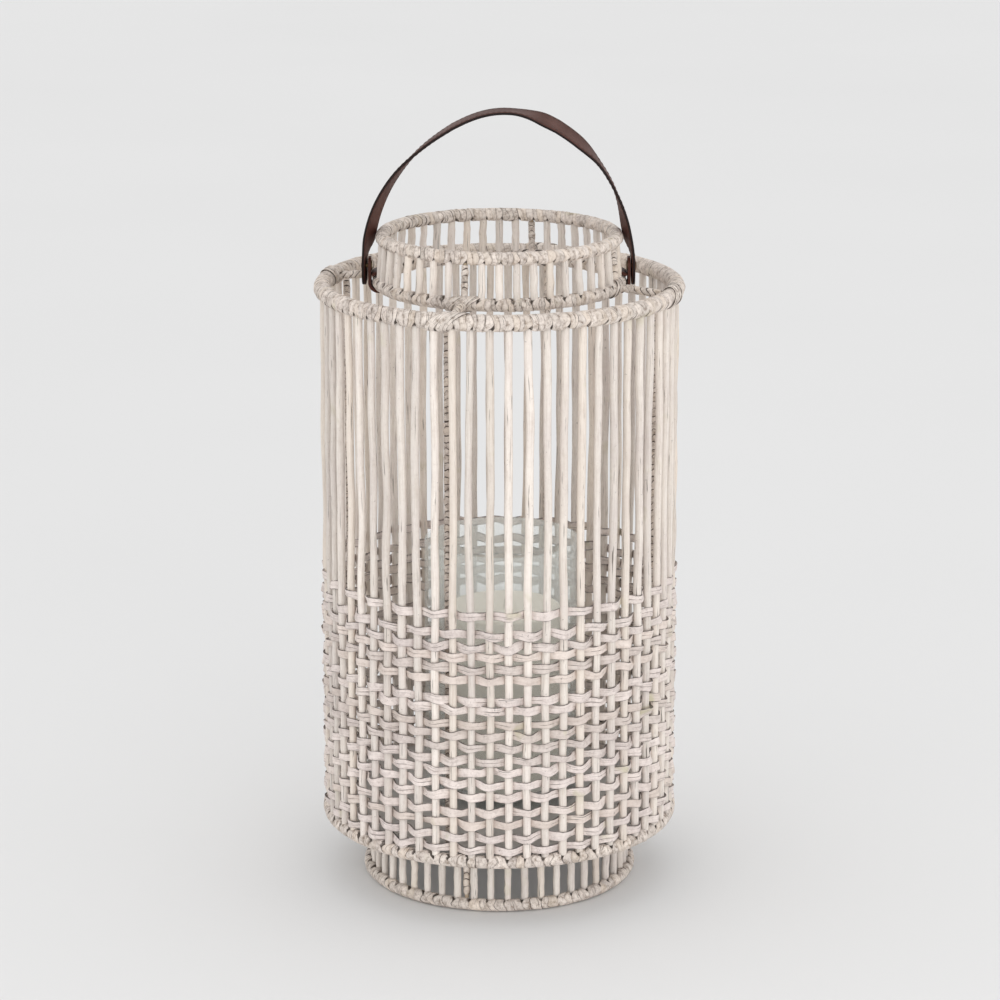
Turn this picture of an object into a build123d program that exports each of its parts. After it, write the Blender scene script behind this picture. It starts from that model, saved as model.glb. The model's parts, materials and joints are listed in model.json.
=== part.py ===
"""Hurricane candle lantern: a willow basket on a round foot, a glass chimney and a leather strap.

Millimetres, +Z up. The origin is the middle of the foot's flat underside and -Y is the front.
Places round the basket are given as a turn, in degrees, from the front towards +X.
"""

from build123d import *
import math
import os

# ---- Hoops: bent willow rods, bound round and round with split cane -------------------------
rim_outer_diameter = 300.0  # across the bound top rim of the basket
rim_core_diameter = 8.6
rim_bound_diameter = 15.0
hoop_core_diameter = 6.0  # rod inside the four smaller hoops
hoop_bound_diameter = 12.0  # the same hoops over their binding
foot_hoop_inset = 33.5  # the foot's hoop is this much smaller in radius than the base hoop
foot_flat_depth = 0.6  # the binding under the foot is worn flat by this much
collar_mouth_diameter = 176.0  # clear opening through the collar's upper hoop
collar_flare = 2.7  # the collar's lower hoop is this much larger in radius than its upper one

# ---- Heights ---------------------------------------------------------------------------------
foot_height = 50.1  # foot hoop's centre to base hoop's centre
basket_height = 440.5  # base hoop's centre to rim's centre
collar_rise = 4.5  # rim's centre to the collar's lower hoop
collar_height = 36.0  # lower hoop's centre to upper hoop's centre

# ---- Upright willow stakes ---------------------------------------------------------------------
stake_count = 60
stake_diameter = 6.5
stake_circle_inset = 1.0  # stakes stand this far inside the rim's centre line
collar_place_count = 44  # even places round the collar, for stakes, posts and strap loops
collar_stake_diameter = 6.0
foot_stake_pitch = 13.8  # foot stakes stand about this far apart
foot_stake_diameter = 6.0
foot_stake_inset = 2.8  # foot stakes stand this far inside the foot hoop's centre line
core_gap = 0.3  # stakes end this far short of the rod inside a hoop

# ---- Frame posts and ties, each a thin rod bound with cane -------------------------------------
post_core_diameter = 3.6
post_bound_diameter = 7.0
post_turn = -18.0  # first post, the other three follow at quarter turns
collar_post_turn = -2 * 360.0 / collar_place_count
post_stake_gap = 3.8  # between a frame post's binding and the backs of the stakes
tie_bound_diameter = 8.0
lashing_gap = 0.3  # between one binding and the next

# ---- Weaving -----------------------------------------------------------------------------------
strip_width = 6.8
strip_thickness = 1.6
strip_stake_gap = 0.4  # a strip passes a stake at this distance
strip_flat = 3.2  # half the length of the flat where a strip crosses a stake
first_row_gap = 0.4  # between the base hoop's binding and the lowest strip
# Gaps from each row up to the next, packed down by hand and so uneven
row_gaps = (3.7, 4.7, 3.2, 6.2, 3.2, 4.2, 2.2, 4.7, 2.7, 2.2, 5.7, 0.7, 10.2, 2.7, 3.2, 0.7, 3.7,
            9.0)

# ---- Base board --------------------------------------------------------------------------------
board_thickness = 14.0
board_top_rise = 10.5  # board's top above the base hoop's centre
board_gap = 0.2  # between the board's edge and the base hoop's binding
board_edge_radius = 1.5
stake_socket_depth = 8.0
socket_gap = 0.1  # radial room round a foot stake in its socket
nail_count = 12
nail_diameter = 1.4
nail_head_diameter = 3.2
nail_head_thickness = 0.7
nail_length = 22.0

# ---- Glass and candle --------------------------------------------------------------------------
glass_outer_diameter = 127.0
glass_height = 219.5
glass_wall = 3.0
glass_base_thickness = 11.0
glass_offset = 2.0  # the glass stands this far towards +X
candle_diameter = 95.0
candle_height = 150.0
candle_offset = 4.0
candle_edge_radius = 2.5
candle_dish_depth = 3.0
candle_dish_diameter = 78.0
wick_diameter = 2.2
wick_length = 17.0
wick_sunk = 8.0

# ---- Leather strap, its two loops and its rivets -------------------------------------------------
strap_width = 25.0
strap_thickness = 2.5
strap_crown_radius = 92.0  # bend at the top of the arch
strap_shoulder_turn = 60.0  # angle through which each side bends before the crown
strap_tail = 15.0  # below the rivet
strap_corner_radius = 9.0
loop_side_gap = 0.76  # between the loop's edges and the stakes beside it
loop_thickness = 2.2
loop_hoop_gap = 0.3
loop_corner_radius = 7.0
loop_end_turn = 44.0  # the loop stops this many degrees short of its own tab
loop_tab_rise = 19.0  # tab's end above the lower hoop's centre
rivet_rise = 12.0  # rivet above the lower hoop's centre
rivet_diameter = 4.0
rivet_head_diameter = 8.5
rivet_head_thickness = 1.7
rivet_bore_gap = 0.06  # radial running room of the strap on the rivet
strap_side_gap = 0.3  # room on each face of the strap

# ---- Places that follow from the sizes above ---------------------------------------------------
rim_radius = (rim_outer_diameter - rim_bound_diameter) / 2
stake_circle = rim_radius - stake_circle_inset
base_radius = stake_circle
foot_radius = base_radius - foot_hoop_inset
collar_top_radius = (collar_mouth_diameter + hoop_bound_diameter) / 2
collar_low_radius = collar_top_radius + collar_flare
foot_stake_circle = foot_radius - foot_stake_inset
foot_post_circle = foot_radius - hoop_bound_diameter / 2  # on the hoop's inner edge
# A multiple of four, so that each of the four foot posts stands behind a gap between two stakes
foot_place_count = 4 * round(2 * math.pi * foot_stake_circle / foot_stake_pitch / 4)
foot_post_turn = -2 * 360.0 / foot_place_count
post_circle = stake_circle - stake_diameter / 2 - post_stake_gap - post_bound_diameter / 2

foot_z = hoop_bound_diameter / 2 - foot_flat_depth
base_z = foot_z + foot_height
rim_z = base_z + basket_height
collar_low_z = rim_z + collar_rise
collar_top_z = collar_low_z + collar_height
board_top_z = base_z + board_top_rise
board_bottom_z = board_top_z - board_thickness
rivet_z = collar_low_z + rivet_rise

# The loop fills the room that a left-out stake makes between its two neighbours
loop_width = (2 * collar_low_radius * math.sin(2 * math.pi / collar_place_count)
              - collar_stake_diameter - 2 * loop_side_gap)
# The hoop falls back from a straight loop towards the loop's two edges, so the loop is roomier
loop_sag = collar_low_radius - math.sqrt(collar_low_radius ** 2 - (loop_width / 2) ** 2)
loop_inner_radius = (hoop_bound_diameter + loop_sag) / 2 + loop_hoop_gap
tab_inner_x = collar_low_radius + hoop_bound_diameter / 2 + loop_hoop_gap
strap_inner_x = tab_inner_x + loop_thickness + strap_side_gap

os.makedirs("parts", exist_ok=True)


def save(piece, name):
    """Label a finished piece and write it as one STEP file."""
    piece.label = name
    export_step(piece, f"parts/{name}.step")


def place(radius, turn, height):
    """Point at a radius and height, turned from the front towards +X."""
    angle = math.radians(turn)
    return Vector(radius * math.sin(angle), -radius * math.cos(angle), height)


def places(count, first_turn, skipped=()):
    """Evenly spaced turns round the basket, less the skipped places."""
    return [first_turn + 360.0 * i / count for i in range(count) if i not in skipped]


def rods(ends, diameter, bore=0.0):
    """Straight rods, one for each pair of end points, bored through when a bore is given."""
    with BuildPart() as group:
        for low, high in ends:
            with BuildSketch(Plane(origin=low, z_dir=high - low)):
                Circle(diameter / 2)
                if bore:
                    Circle(bore / 2, mode=Mode.SUBTRACT)
            extrude(amount=(high - low).length)
    return group.part


def uprights(turns, low_radius, low_z, high_radius, high_z, trim=0.0):
    """End points of rods that rise between two circles, each end cut back by the trim."""
    ends = []
    for turn in turns:
        low = place(low_radius, turn, low_z)
        high = place(high_radius, turn, high_z)
        inward = (high - low).normalized() * trim
        ends.append((low + inward, high - inward))
    return ends


def hoop(radius, height, diameter, bore=0.0, flat_at=None):
    """Round hoop or the hollow binding over one, cut flat underneath at the height given."""
    with BuildPart() as ring:
        with BuildSketch(Plane.XZ):
            with Locations((radius, height)):
                Circle(diameter / 2)
            if flat_at is not None:
                with Locations((radius, flat_at)):
                    Rectangle(diameter, diameter, align=(Align.CENTER, Align.MAX),
                              mode=Mode.SUBTRACT)
            if bore:
                with Locations((radius, height)):
                    Circle(bore / 2, mode=Mode.SUBTRACT)
        revolve(axis=Axis.Z)
    return ring.part


def make_hoops():
    """The five hoops and their bindings."""
    small = (
        ("foot", foot_radius, foot_z, 0.0),
        ("base", base_radius, base_z, None),
        ("collar_lower", collar_low_radius, collar_low_z, None),
        ("collar_upper", collar_top_radius, collar_top_z, None),
    )
    for name, radius, height, flat_at in small:
        save(hoop(radius, height, hoop_core_diameter), f"{name}_hoop")
        binding = hoop(radius, height, hoop_bound_diameter, hoop_core_diameter, flat_at)
        save(binding, f"{name}_binding")
    save(hoop(rim_radius, rim_z, rim_core_diameter), "rim_hoop")
    save(hoop(rim_radius, rim_z, rim_bound_diameter, rim_core_diameter), "rim_binding")


def make_stakes():
    """Stakes of the basket, the collar and the foot. Their ends run into the bindings."""
    low_z = base_z + hoop_core_diameter / 2 + core_gap
    high_z = rim_z - rim_core_diameter / 2 - core_gap
    turns = places(stake_count, 180.0 / stake_count)
    save(rods(uprights(turns, stake_circle, low_z, stake_circle, high_z), stake_diameter),
         "body_stakes")

    pitch = 360.0 / collar_place_count
    post_places = [round((turn - 90.0) / pitch) % collar_place_count for turn in
                   places(4, collar_post_turn)]
    loop_places = [0, collar_place_count // 2]
    turns = places(collar_place_count, 90.0, post_places + loop_places)
    trim = hoop_core_diameter / 2 + core_gap
    ends = uprights(turns, collar_low_radius, collar_low_z, collar_top_radius, collar_top_z, trim)
    save(rods(ends, collar_stake_diameter), "collar_stakes")

    low_z = foot_z + hoop_core_diameter / 2 + core_gap
    high_z = board_bottom_z + stake_socket_depth
    turns = places(foot_place_count, 180.0 / foot_place_count)
    save(rods(uprights(turns, foot_stake_circle, low_z, foot_stake_circle, high_z),
              foot_stake_diameter), "foot_stakes")


def make_posts_and_ties():
    """Bound posts in the foot, basket and collar, and the ties from the collar to the rim."""
    tie_z_at_rim = rim_z
    post_top_z = tie_z_at_rim - tie_bound_diameter / 2 - lashing_gap
    turns = places(4, post_turn)
    low, high = board_top_z, post_top_z
    ends = uprights(turns, post_circle, low - stake_socket_depth, post_circle, high)
    save(rods(ends, post_core_diameter), "frame_posts")
    ends = uprights(turns, post_circle, low, post_circle, high)
    save(rods(ends, post_bound_diameter, post_core_diameter), "frame_post_bindings")

    turns = places(4, foot_post_turn)
    core_low = foot_z + hoop_core_diameter / 2 + core_gap
    ends = uprights(turns, foot_post_circle, core_low, foot_post_circle,
                    board_bottom_z + stake_socket_depth)
    save(rods(ends, post_core_diameter), "foot_posts")
    ends = uprights(turns, foot_post_circle, foot_z + hoop_bound_diameter / 2 + lashing_gap,
                    foot_post_circle, board_bottom_z)
    save(rods(ends, post_bound_diameter, post_core_diameter), "foot_post_bindings")

    turns = places(4, collar_post_turn)
    for name, diameter, bore, trim in (
            ("collar_posts", post_core_diameter, 0.0, hoop_core_diameter / 2 + core_gap),
            ("collar_post_bindings", post_bound_diameter, post_core_diameter,
             hoop_bound_diameter / 2 + lashing_gap)):
        ends = uprights(turns, collar_low_radius, collar_low_z, collar_top_radius,
                        collar_top_z, trim)
        save(rods(ends, diameter, bore), name)

    for name, diameter, bore, low_trim, high_trim in (
            ("cross_ties", post_core_diameter, 0.0, hoop_core_diameter / 2 + core_gap,
             rim_core_diameter / 2 + core_gap),
            ("cross_tie_bindings", tie_bound_diameter, post_core_diameter,
             hoop_bound_diameter / 2 + lashing_gap, rim_bound_diameter / 2 + lashing_gap)):
        ends = []
        for turn in turns:
            inner = place(collar_low_radius, turn, collar_low_z)
            outer = place(rim_radius, turn, tie_z_at_rim)
            along = (outer - inner).normalized()
            ends.append((inner + along * low_trim, outer - along * high_trim))
        save(rods(ends, diameter, bore), name)


def strip_outline(face, first_crest):
    """Corners of one face of a woven strip. It passes outside one stake and inside the next.

    The face is +1 outside and -1 inside. Each crossing is a flat, and between two crossings the
    strip runs straight from one side of the stakes to the other.
    """
    throw = stake_diameter / 2 + strip_stake_gap + strip_thickness / 2
    pitch = stake_circle * 2 * math.pi / stake_count
    slope = math.atan2(2 * throw, pitch - 2 * strip_flat)
    mitre = strip_thickness / 2 * math.tan(slope / 2)
    corners = []
    for i, turn in enumerate(places(stake_count, 180.0 / stake_count)):
        crest = first_crest if i % 2 == 0 else -first_crest
        radius = stake_circle + crest * throw + face * strip_thickness / 2
        half_turn = math.degrees((strip_flat + crest * face * mitre) / radius)
        for corner_turn in (turn - half_turn, turn + half_turn):
            corner = place(radius, corner_turn, 0)
            corners.append((corner.X, corner.Y))
    return corners


def make_weave():
    """Rows of flat cane strip, each a closed band, that alternate in and out of the stakes."""
    level = base_z + hoop_bound_diameter / 2 + first_row_gap + strip_width / 2
    levels = [level]
    for gap in row_gaps:
        level += strip_width + gap
        levels.append(level)
    for number, row_z in enumerate(levels, start=1):
        first_crest = 1 if number % 2 else -1
        with BuildPart() as row:
            with BuildSketch(Plane.XY.offset(row_z - strip_width / 2)):
                Polygon(*strip_outline(1, first_crest), align=None)
                Polygon(*strip_outline(-1, first_crest), align=None, mode=Mode.SUBTRACT)
            extrude(amount=strip_width)
        save(row.part, f"weave_row_{number:02d}")


def make_board():
    """Base board with sockets for the posts and the foot's stakes, and the nails in its edge."""
    board_radius = base_radius - hoop_bound_diameter / 2 - board_gap
    with BuildPart() as board:
        with BuildSketch(Plane.XY.offset(board_bottom_z)):
            Circle(board_radius)
        extrude(amount=board_thickness)
        fillet(board.edges().filter_by(GeomType.CIRCLE), board_edge_radius)
        with BuildSketch(Plane.XY.offset(board_bottom_z)):
            with PolarLocations(foot_stake_circle, foot_place_count,
                                start_angle=-90.0 + 180.0 / foot_place_count):
                Circle(foot_stake_diameter / 2 + socket_gap)
            with PolarLocations(foot_post_circle, 4, start_angle=-90.0 + foot_post_turn):
                Circle(post_core_diameter / 2 + socket_gap)
        extrude(amount=stake_socket_depth, mode=Mode.SUBTRACT)
        with BuildSketch(Plane.XY.offset(board_top_z)):
            with PolarLocations(post_circle, 4, start_angle=-90.0 + post_turn):
                Circle(post_core_diameter / 2 + socket_gap)
        extrude(amount=-stake_socket_depth, mode=Mode.SUBTRACT)
    save(board.part, "base_board")

    head_start = base_radius + hoop_core_diameter / 2
    with BuildPart() as nails:
        for turn in places(nail_count, 0.0):
            outer = place(head_start, turn, base_z)
            inward = place(-1.0, turn, 0)
            with BuildSketch(Plane(origin=outer, z_dir=inward)):
                Circle(nail_diameter / 2)
            extrude(amount=nail_length)
            with BuildSketch(Plane(origin=outer, z_dir=inward)):
                Circle(nail_head_diameter / 2)
            extrude(amount=-nail_head_thickness)
    save(nails.part, "board_nails")


def make_glass():
    """Plain glass chimney with a thick base, open at the top."""
    middle = (glass_offset, 0)
    with BuildPart() as glass:
        with BuildSketch(Plane.XY.offset(board_top_z)):
            with Locations(middle):
                Circle(glass_outer_diameter / 2)
        extrude(amount=glass_height)
        with BuildSketch(Plane.XY.offset(board_top_z + glass_base_thickness)):
            with Locations(middle):
                Circle(glass_outer_diameter / 2 - glass_wall)
        extrude(amount=glass_height, mode=Mode.SUBTRACT)
        lip = glass.edges().filter_by(GeomType.CIRCLE).group_by(Axis.Z)[-1]
        fillet(lip, glass_wall * 0.45)
        foot = glass.edges().filter_by(GeomType.CIRCLE).group_by(Axis.Z)[0]
        fillet(foot, glass_wall * 0.45)
    save(glass.part, "glass_cylinder")


def make_candle():
    """Pillar candle with a shallow melted dish, and its wick."""
    candle_z = board_top_z + glass_base_thickness
    candle_top_z = candle_z + candle_height
    dish_radius = candle_dish_diameter / 2
    dish_sphere = (dish_radius ** 2 + candle_dish_depth ** 2) / (2 * candle_dish_depth)
    dish_floor_z = candle_top_z - candle_dish_depth
    wick_low_z = dish_floor_z - wick_sunk
    with BuildPart() as candle:
        with BuildSketch(Plane.XY.offset(candle_z)):
            with Locations((candle_offset, 0)):
                Circle(candle_diameter / 2)
        extrude(amount=candle_height)
        fillet(candle.edges().filter_by(GeomType.CIRCLE), candle_edge_radius)
        with Locations((candle_offset, 0, dish_floor_z + dish_sphere)):
            Sphere(dish_sphere, mode=Mode.SUBTRACT)
        with BuildSketch(Plane.XY.offset(wick_low_z)):
            with Locations((candle_offset, 0)):
                Circle(wick_diameter / 2)
        extrude(amount=wick_sunk + candle_dish_depth, mode=Mode.SUBTRACT)
    save(candle.part, "candle")

    with BuildPart() as wick:
        with BuildSketch(Plane.XY.offset(wick_low_z)):
            with Locations((candle_offset, 0)):
                Circle(wick_diameter / 2)
        extrude(amount=wick_length)
        fillet(wick.edges().group_by(Axis.Z)[-1], wick_diameter / 4)
    save(wick.part, "candle_wick")


def make_loop(side, name):
    """Leather loop round the collar's lower hoop, with a tab that stands up to take the rivet."""
    bend_radius = loop_inner_radius + loop_thickness / 2
    tab_x = tab_inner_x + loop_thickness / 2
    bend_x = tab_x - bend_radius
    with BuildPart() as loop:
        with BuildSketch(Plane.XZ):
            with BuildLine() as path:
                Line((side * tab_x, collar_low_z + loop_tab_rise), (side * tab_x, collar_low_z))
                CenterArc((side * bend_x, collar_low_z), bend_radius,
                          0 if side > 0 else 180, -side * (360 - loop_end_turn))
            trace(path.line, loop_thickness)
        extrude(amount=loop_width / 2, both=True)
        corners = loop.edges().filter_by(Axis.X).group_by(Axis.Z)[-1]
        fillet(corners, loop_corner_radius)
        with BuildSketch(Plane.YZ.offset(side * tab_x)):
            with Locations((0, rivet_z)):
                Circle(rivet_diameter / 2)
        extrude(amount=loop_thickness, both=True, mode=Mode.SUBTRACT)
    save(loop.part, name)


def make_strap():
    """Strap handle: an arch of flat leather with a rounded end and a rivet hole at each foot.

    Each leg is straight past the loop's tab, so that it turns flat against it.
    """
    strap_x = strap_inner_x + strap_thickness / 2
    leg_top_z = collar_low_z + loop_tab_rise
    bend = math.radians(strap_shoulder_turn)
    side_radius = (strap_x - strap_crown_radius * math.cos(bend)) / (1 - math.cos(bend))
    with BuildPart() as strap:
        with BuildSketch(Plane.XZ):
            with BuildLine() as arch:
                leg = Line((strap_x, rivet_z - strap_tail), (strap_x, leg_top_z))
                shoulder = JernArc(leg @ 1, leg % 1, side_radius, strap_shoulder_turn)
                crown = JernArc(shoulder @ 1, shoulder % 1, strap_crown_radius,
                                180 - 2 * strap_shoulder_turn)
                far = JernArc(crown @ 1, crown % 1, side_radius, strap_shoulder_turn)
                Line(far @ 1, (-strap_x, rivet_z - strap_tail))
            trace(arch.line, strap_thickness)
        extrude(amount=strap_width / 2, both=True)
        fillet(strap.edges().filter_by(Axis.X).group_by(Axis.Z)[0], strap_corner_radius)
        with BuildSketch(Plane.YZ):
            with Locations((0, rivet_z)):
                Circle(rivet_diameter / 2 + rivet_bore_gap)
        extrude(amount=strap_x + strap_thickness, both=True, mode=Mode.SUBTRACT)
    save(strap.part, "handle_strap")


def make_rivet(side, name):
    """Rivet through a loop's tab and the strap, with a flat inner head and a domed outer one."""
    outer_x = strap_inner_x + strap_thickness + strap_side_gap
    flat_x = tab_inner_x - rivet_head_thickness / 2
    head = rivet_head_diameter / 2
    dome = (head ** 2 + rivet_head_thickness ** 2) / (2 * rivet_head_thickness)
    dome_middle_x = outer_x + rivet_head_thickness - dome
    half_turn = math.asin(head / dome) / 2
    with BuildPart() as rivet:
        with BuildSketch(Plane.XY.offset(rivet_z)):
            with BuildLine():
                Polyline((side * (outer_x + rivet_head_thickness), 0), (side * flat_x, 0),
                         (side * flat_x, head), (side * tab_inner_x, head),
                         (side * tab_inner_x, rivet_diameter / 2),
                         (side * outer_x, rivet_diameter / 2), (side * outer_x, head))
                ThreePointArc((side * outer_x, head),
                              (side * (dome_middle_x + dome * math.cos(half_turn)),
                               dome * math.sin(half_turn)),
                              (side * (outer_x + rivet_head_thickness), 0))
            make_face()
        revolve(axis=Axis((0, 0, rivet_z), (1, 0, 0)))
    save(rivet.part, name)


make_hoops()
make_stakes()
make_posts_and_ties()
make_weave()
make_board()
make_glass()
make_candle()
for side, side_name in ((-1, "left"), (1, "right")):
    make_loop(side, f"strap_loop_{side_name}")
    make_rivet(side, f"strap_rivet_{side_name}")
make_strap()
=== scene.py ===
"""Hurricane candle lantern: willow basket, glass chimney, pillar candle and leather strap.

Run as a script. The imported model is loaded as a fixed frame, and each operator builds one group
of pieces round it. Lengths are in metres, +Z is up and -Y is the front. A place round the basket
is a turn from the front towards +X.
"""

import json
import math

import bpy
import numpy as np
from bpy.props import FloatProperty, FloatVectorProperty, IntProperty, PointerProperty
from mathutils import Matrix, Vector


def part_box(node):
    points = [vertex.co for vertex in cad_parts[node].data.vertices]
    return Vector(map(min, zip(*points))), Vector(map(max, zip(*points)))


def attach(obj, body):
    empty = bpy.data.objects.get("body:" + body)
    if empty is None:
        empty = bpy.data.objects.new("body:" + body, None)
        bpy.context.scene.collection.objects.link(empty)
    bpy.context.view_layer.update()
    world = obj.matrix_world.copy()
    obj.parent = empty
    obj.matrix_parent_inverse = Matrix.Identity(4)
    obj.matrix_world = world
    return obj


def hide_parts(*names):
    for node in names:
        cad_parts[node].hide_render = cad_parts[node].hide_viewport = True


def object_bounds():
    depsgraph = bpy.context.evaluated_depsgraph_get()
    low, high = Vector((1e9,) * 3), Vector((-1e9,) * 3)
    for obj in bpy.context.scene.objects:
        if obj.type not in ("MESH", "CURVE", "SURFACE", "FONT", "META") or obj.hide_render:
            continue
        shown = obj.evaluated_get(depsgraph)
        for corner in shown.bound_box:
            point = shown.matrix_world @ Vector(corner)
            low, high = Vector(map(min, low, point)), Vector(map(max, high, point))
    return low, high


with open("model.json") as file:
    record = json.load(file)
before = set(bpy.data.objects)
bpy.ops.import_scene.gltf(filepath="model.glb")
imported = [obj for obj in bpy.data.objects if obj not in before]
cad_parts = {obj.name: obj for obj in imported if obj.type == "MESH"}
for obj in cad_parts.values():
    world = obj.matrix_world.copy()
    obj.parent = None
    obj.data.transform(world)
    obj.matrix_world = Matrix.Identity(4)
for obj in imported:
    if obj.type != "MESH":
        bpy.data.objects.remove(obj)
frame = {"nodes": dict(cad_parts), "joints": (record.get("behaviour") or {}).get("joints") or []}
cad_low, cad_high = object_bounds()

bl_info = {
    "name": "Willow Candle Lantern",
    "version": (1, 0, 0),
    "blender": (4, 5, 0),
    "location": "View3D > Sidebar > Lantern",
    "description": "Builds a willow hurricane lantern, piece by piece",
    "category": "Add Mesh",
}

MM = 0.001
BODY = "lantern"
WEAVE_NODES = sorted(n for n in frame["nodes"] if n.startswith("weave_row_"))


def length(name, description, default):
    """A length property, in metres."""
    return FloatProperty(name=name, description=description, default=default, unit="LENGTH",
                         precision=4)


def angle(name, description, degrees):
    """An angle property, given in degrees."""
    return FloatProperty(name=name, description=description, default=math.radians(degrees),
                         subtype="ANGLE")


def colour(name, description, default):
    """A linear colour property."""
    return FloatVectorProperty(name=name, description=description, default=default,
                               subtype="COLOR", size=3, min=0.0, max=1.0)


# ---- Sizes and colours that a user would change --------------------------------------------

class WillowSettings(bpy.types.PropertyGroup):
    """Counts, turns and unevenness of the willow rods."""

    stakes: IntProperty(name="Stakes", description="Stakes round the basket", default=60)
    collar_places: IntProperty(name="Collar places", description="Places round the collar",
                               default=44)
    foot_places: IntProperty(name="Foot stakes", description="Stakes round the foot", default=48)
    wander: length("Wander", "How far a stake strays from straight", 0.42 * MM)
    stake: length("Stake", "Diameter of a basket stake", 6.5 * MM)
    small_rod: length("Small rod", "Diameter of a collar or foot stake", 6.0 * MM)
    bow: length("Bow", "How far a stake bows aside above the weave", 1.1 * MM)
    unevenness: FloatProperty(name="Unevenness", description="Share by which a rod's radius varies",
                              default=0.045, subtype="FACTOR")
    post_turn: angle("Post turn", "First frame post, from the front", -18.0)
    foot_post_turn: angle("Foot post turn", "First foot post", -15.0)


class CaneSettings(bpy.types.PropertyGroup):
    """Split cane: the woven strips and the strips wound round hoops and posts."""

    strip_width: length("Strip width", "Height of a woven strip", 7.3 * MM)
    strip_thickness: length("Strip thickness", "Thickness of a woven strip", 1.5 * MM)
    strip_wander: length("Strip wander", "How far a woven strip strays up and down", 0.85 * MM)
    wrap_thickness: length("Wrap thickness", "Rise of a wound strip above its edges", 0.45 * MM)
    wrap_lift: length("Wrap lift", "How far a strip's edge rides over the next", 0.75 * MM)
    slit_width: length("Slit width", "Slit that stays open beside a stake", 3.0 * MM)
    wrap_slant: length("Wrap slant", "Lean of a wound strip across its hoop", 2.6 * MM)
    post_pitch: length("Post pitch", "Step from turn to turn on a post", 5.6 * MM)


class StrapSettings(bpy.types.PropertyGroup):
    """The leather strap."""

    twist_left_end: angle("Left end twist", "At the left rivet", 5.0)
    twist_right_end: angle("Right end twist", "At the right rivet", 2.0)
    twist_right_leg: angle("Right leg twist", "Beside the collar", 13.0)
    twist_left_leg: angle("Left leg twist", "Beside the collar", 20.0)
    twist_right_shoulder: angle("Right shoulder twist", "On the right of the top", -15.0)
    left_stand: length("Left stand", "How far the left end stands off its loop", 1.4 * MM)
    right_stand: length("Right stand", "How far the right end stands off its loop", 0.7 * MM)
    right_tuck: length("Right tuck", "How far the right leg tucks in beside the collar", 3.0 * MM)
    sag: length("Sag", "How far the left shoulder sags inward", 9.0 * MM)
    stitch_pitch: length("Stitch pitch", "Step from stitch to stitch", 4.4 * MM)
    stitch_inset: length("Stitch inset", "Stitch line to the strap's edge", 2.6 * MM)


class ColourSettings(bpy.types.PropertyGroup):
    """Finishes."""

    willow_pale: colour("Willow", "Whitewashed willow rod", (0.87, 0.80, 0.735))
    willow_shade: colour("Willow streaks", "Bare grain through the wash", (0.50, 0.41, 0.34))
    cane_pale: colour("Cane", "Whitewashed cane strip", (0.82, 0.735, 0.69))
    cane_shade: colour("Cane streaks", "Grain of the cane", (0.40, 0.33, 0.30))
    binding_pale: colour("Binding", "Whitewashed wound cane", (0.78, 0.70, 0.635))
    binding_shade: colour("Binding streaks", "Grain of the wound cane", (0.33, 0.26, 0.21))
    stain: colour("Stain", "Yellow-green weathering", (0.50, 0.47, 0.27))
    leather: colour("Leather", "Finished face of the strap", (0.070, 0.023, 0.015))
    # The strap's cut edges are painted this near-black as painted shade.
    leather_edge_shade: colour("Leather edge", "Cut edge of the strap", (0.009, 0.0045, 0.004))
    wax: colour("Wax", "Candle", (0.80, 0.68, 0.52))
    board: colour("Board", "Grey-washed board", (0.30, 0.28, 0.26))
    floor: colour("Floor", "Plain pale floor", (0.785, 0.785, 0.785))


class StageSettings(bpy.types.PropertyGroup):
    """Camera and lights."""

    camera_distance: length("Camera distance", "Camera to the point it looks at", 2.9)
    camera_rise: angle("Camera rise", "Camera's angle above level", 15.23)
    aim_height: length("Aim height", "Height of the point looked at", 0.317)
    lens: FloatProperty(name="Lens", description="Focal length in millimetres", default=127.6)
    key_power: FloatProperty(name="Key light", description="Watts", default=20.0)
    fill_power: FloatProperty(name="Fill light", description="Watts", default=7.0)
    sky: FloatProperty(name="Surroundings", description="Strength of the even light",
                       default=1.0)


# ---- Sizes that the pieces keep ------------------------------------------------------------

QUARTERS = np.arange(4) * np.pi / 2
ROD_FADE = 0.12  # a rod's wander fades out over this share of it at each end
ROD_SHARE = 0.96  # mean radius of a rod, as a share of the frame's rod
ROD_OVAL = 0.05
KNOT_LENGTH = 3.5 * MM
KNOT_SWELL = 0.05
SWELL_LIMIT = 1.06
SLIT_END = math.radians(92.0)  # a slit beside a stake closes this far round the tube
SLIT_TAPER = math.radians(50.0)
EDGE_FREE = math.radians(70.0)  # a strip's edge wanders in full from here round the tube
SEAM_SINK = 0.3 * MM  # how far the seam between two turns sinks
OPEN_SINK = 2.2 * MM  # how far it sinks further where a stake parts it
POST_RADIUS = 3.5 * MM  # over the winding of a post
TIE_RADIUS = 4.0 * MM
SKIN_SHARE = 0.9  # a rod starts this share of a hoop's tube away from the hoop's middle
LASHING_STRIPS = 6
LASHING_STEP = 2.9 * MM  # from strip to strip along the hoop
LASHING_WIDTH = 3.4 * MM
LASHING_THICKNESS = 0.9 * MM
LASHING_PHASE = 0.9
STRAP_THICKNESS = 2.4 * MM
STRAP_CORNER = 9.0 * MM
STRAP_LEG = 7.0 * MM  # the straight leg ends this far above the rivet
STRAP_BEND = 60.0  # degrees of the wide arc on each side
RIVET_DOME = 1.6 * MM
THREAD_RADIUS = 0.42 * MM
THREAD_SINK = 0.08 * MM
STITCH_SHARE = 0.36  # half a stitch, as a share of the step from stitch to stitch
GLASS_WALL = 3.0 * MM
GLASS_BASE = 11.0 * MM
CANDLE_DISH = 2.4 * MM
CANDLE_EDGE = 3.5 * MM
FLOOR_REACH = 14.0
LIGHT_AIM = 0.3  # height of the point that the lamps face


# ---- Surfaces worked out as whole arrays ---------------------------------------------------

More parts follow.
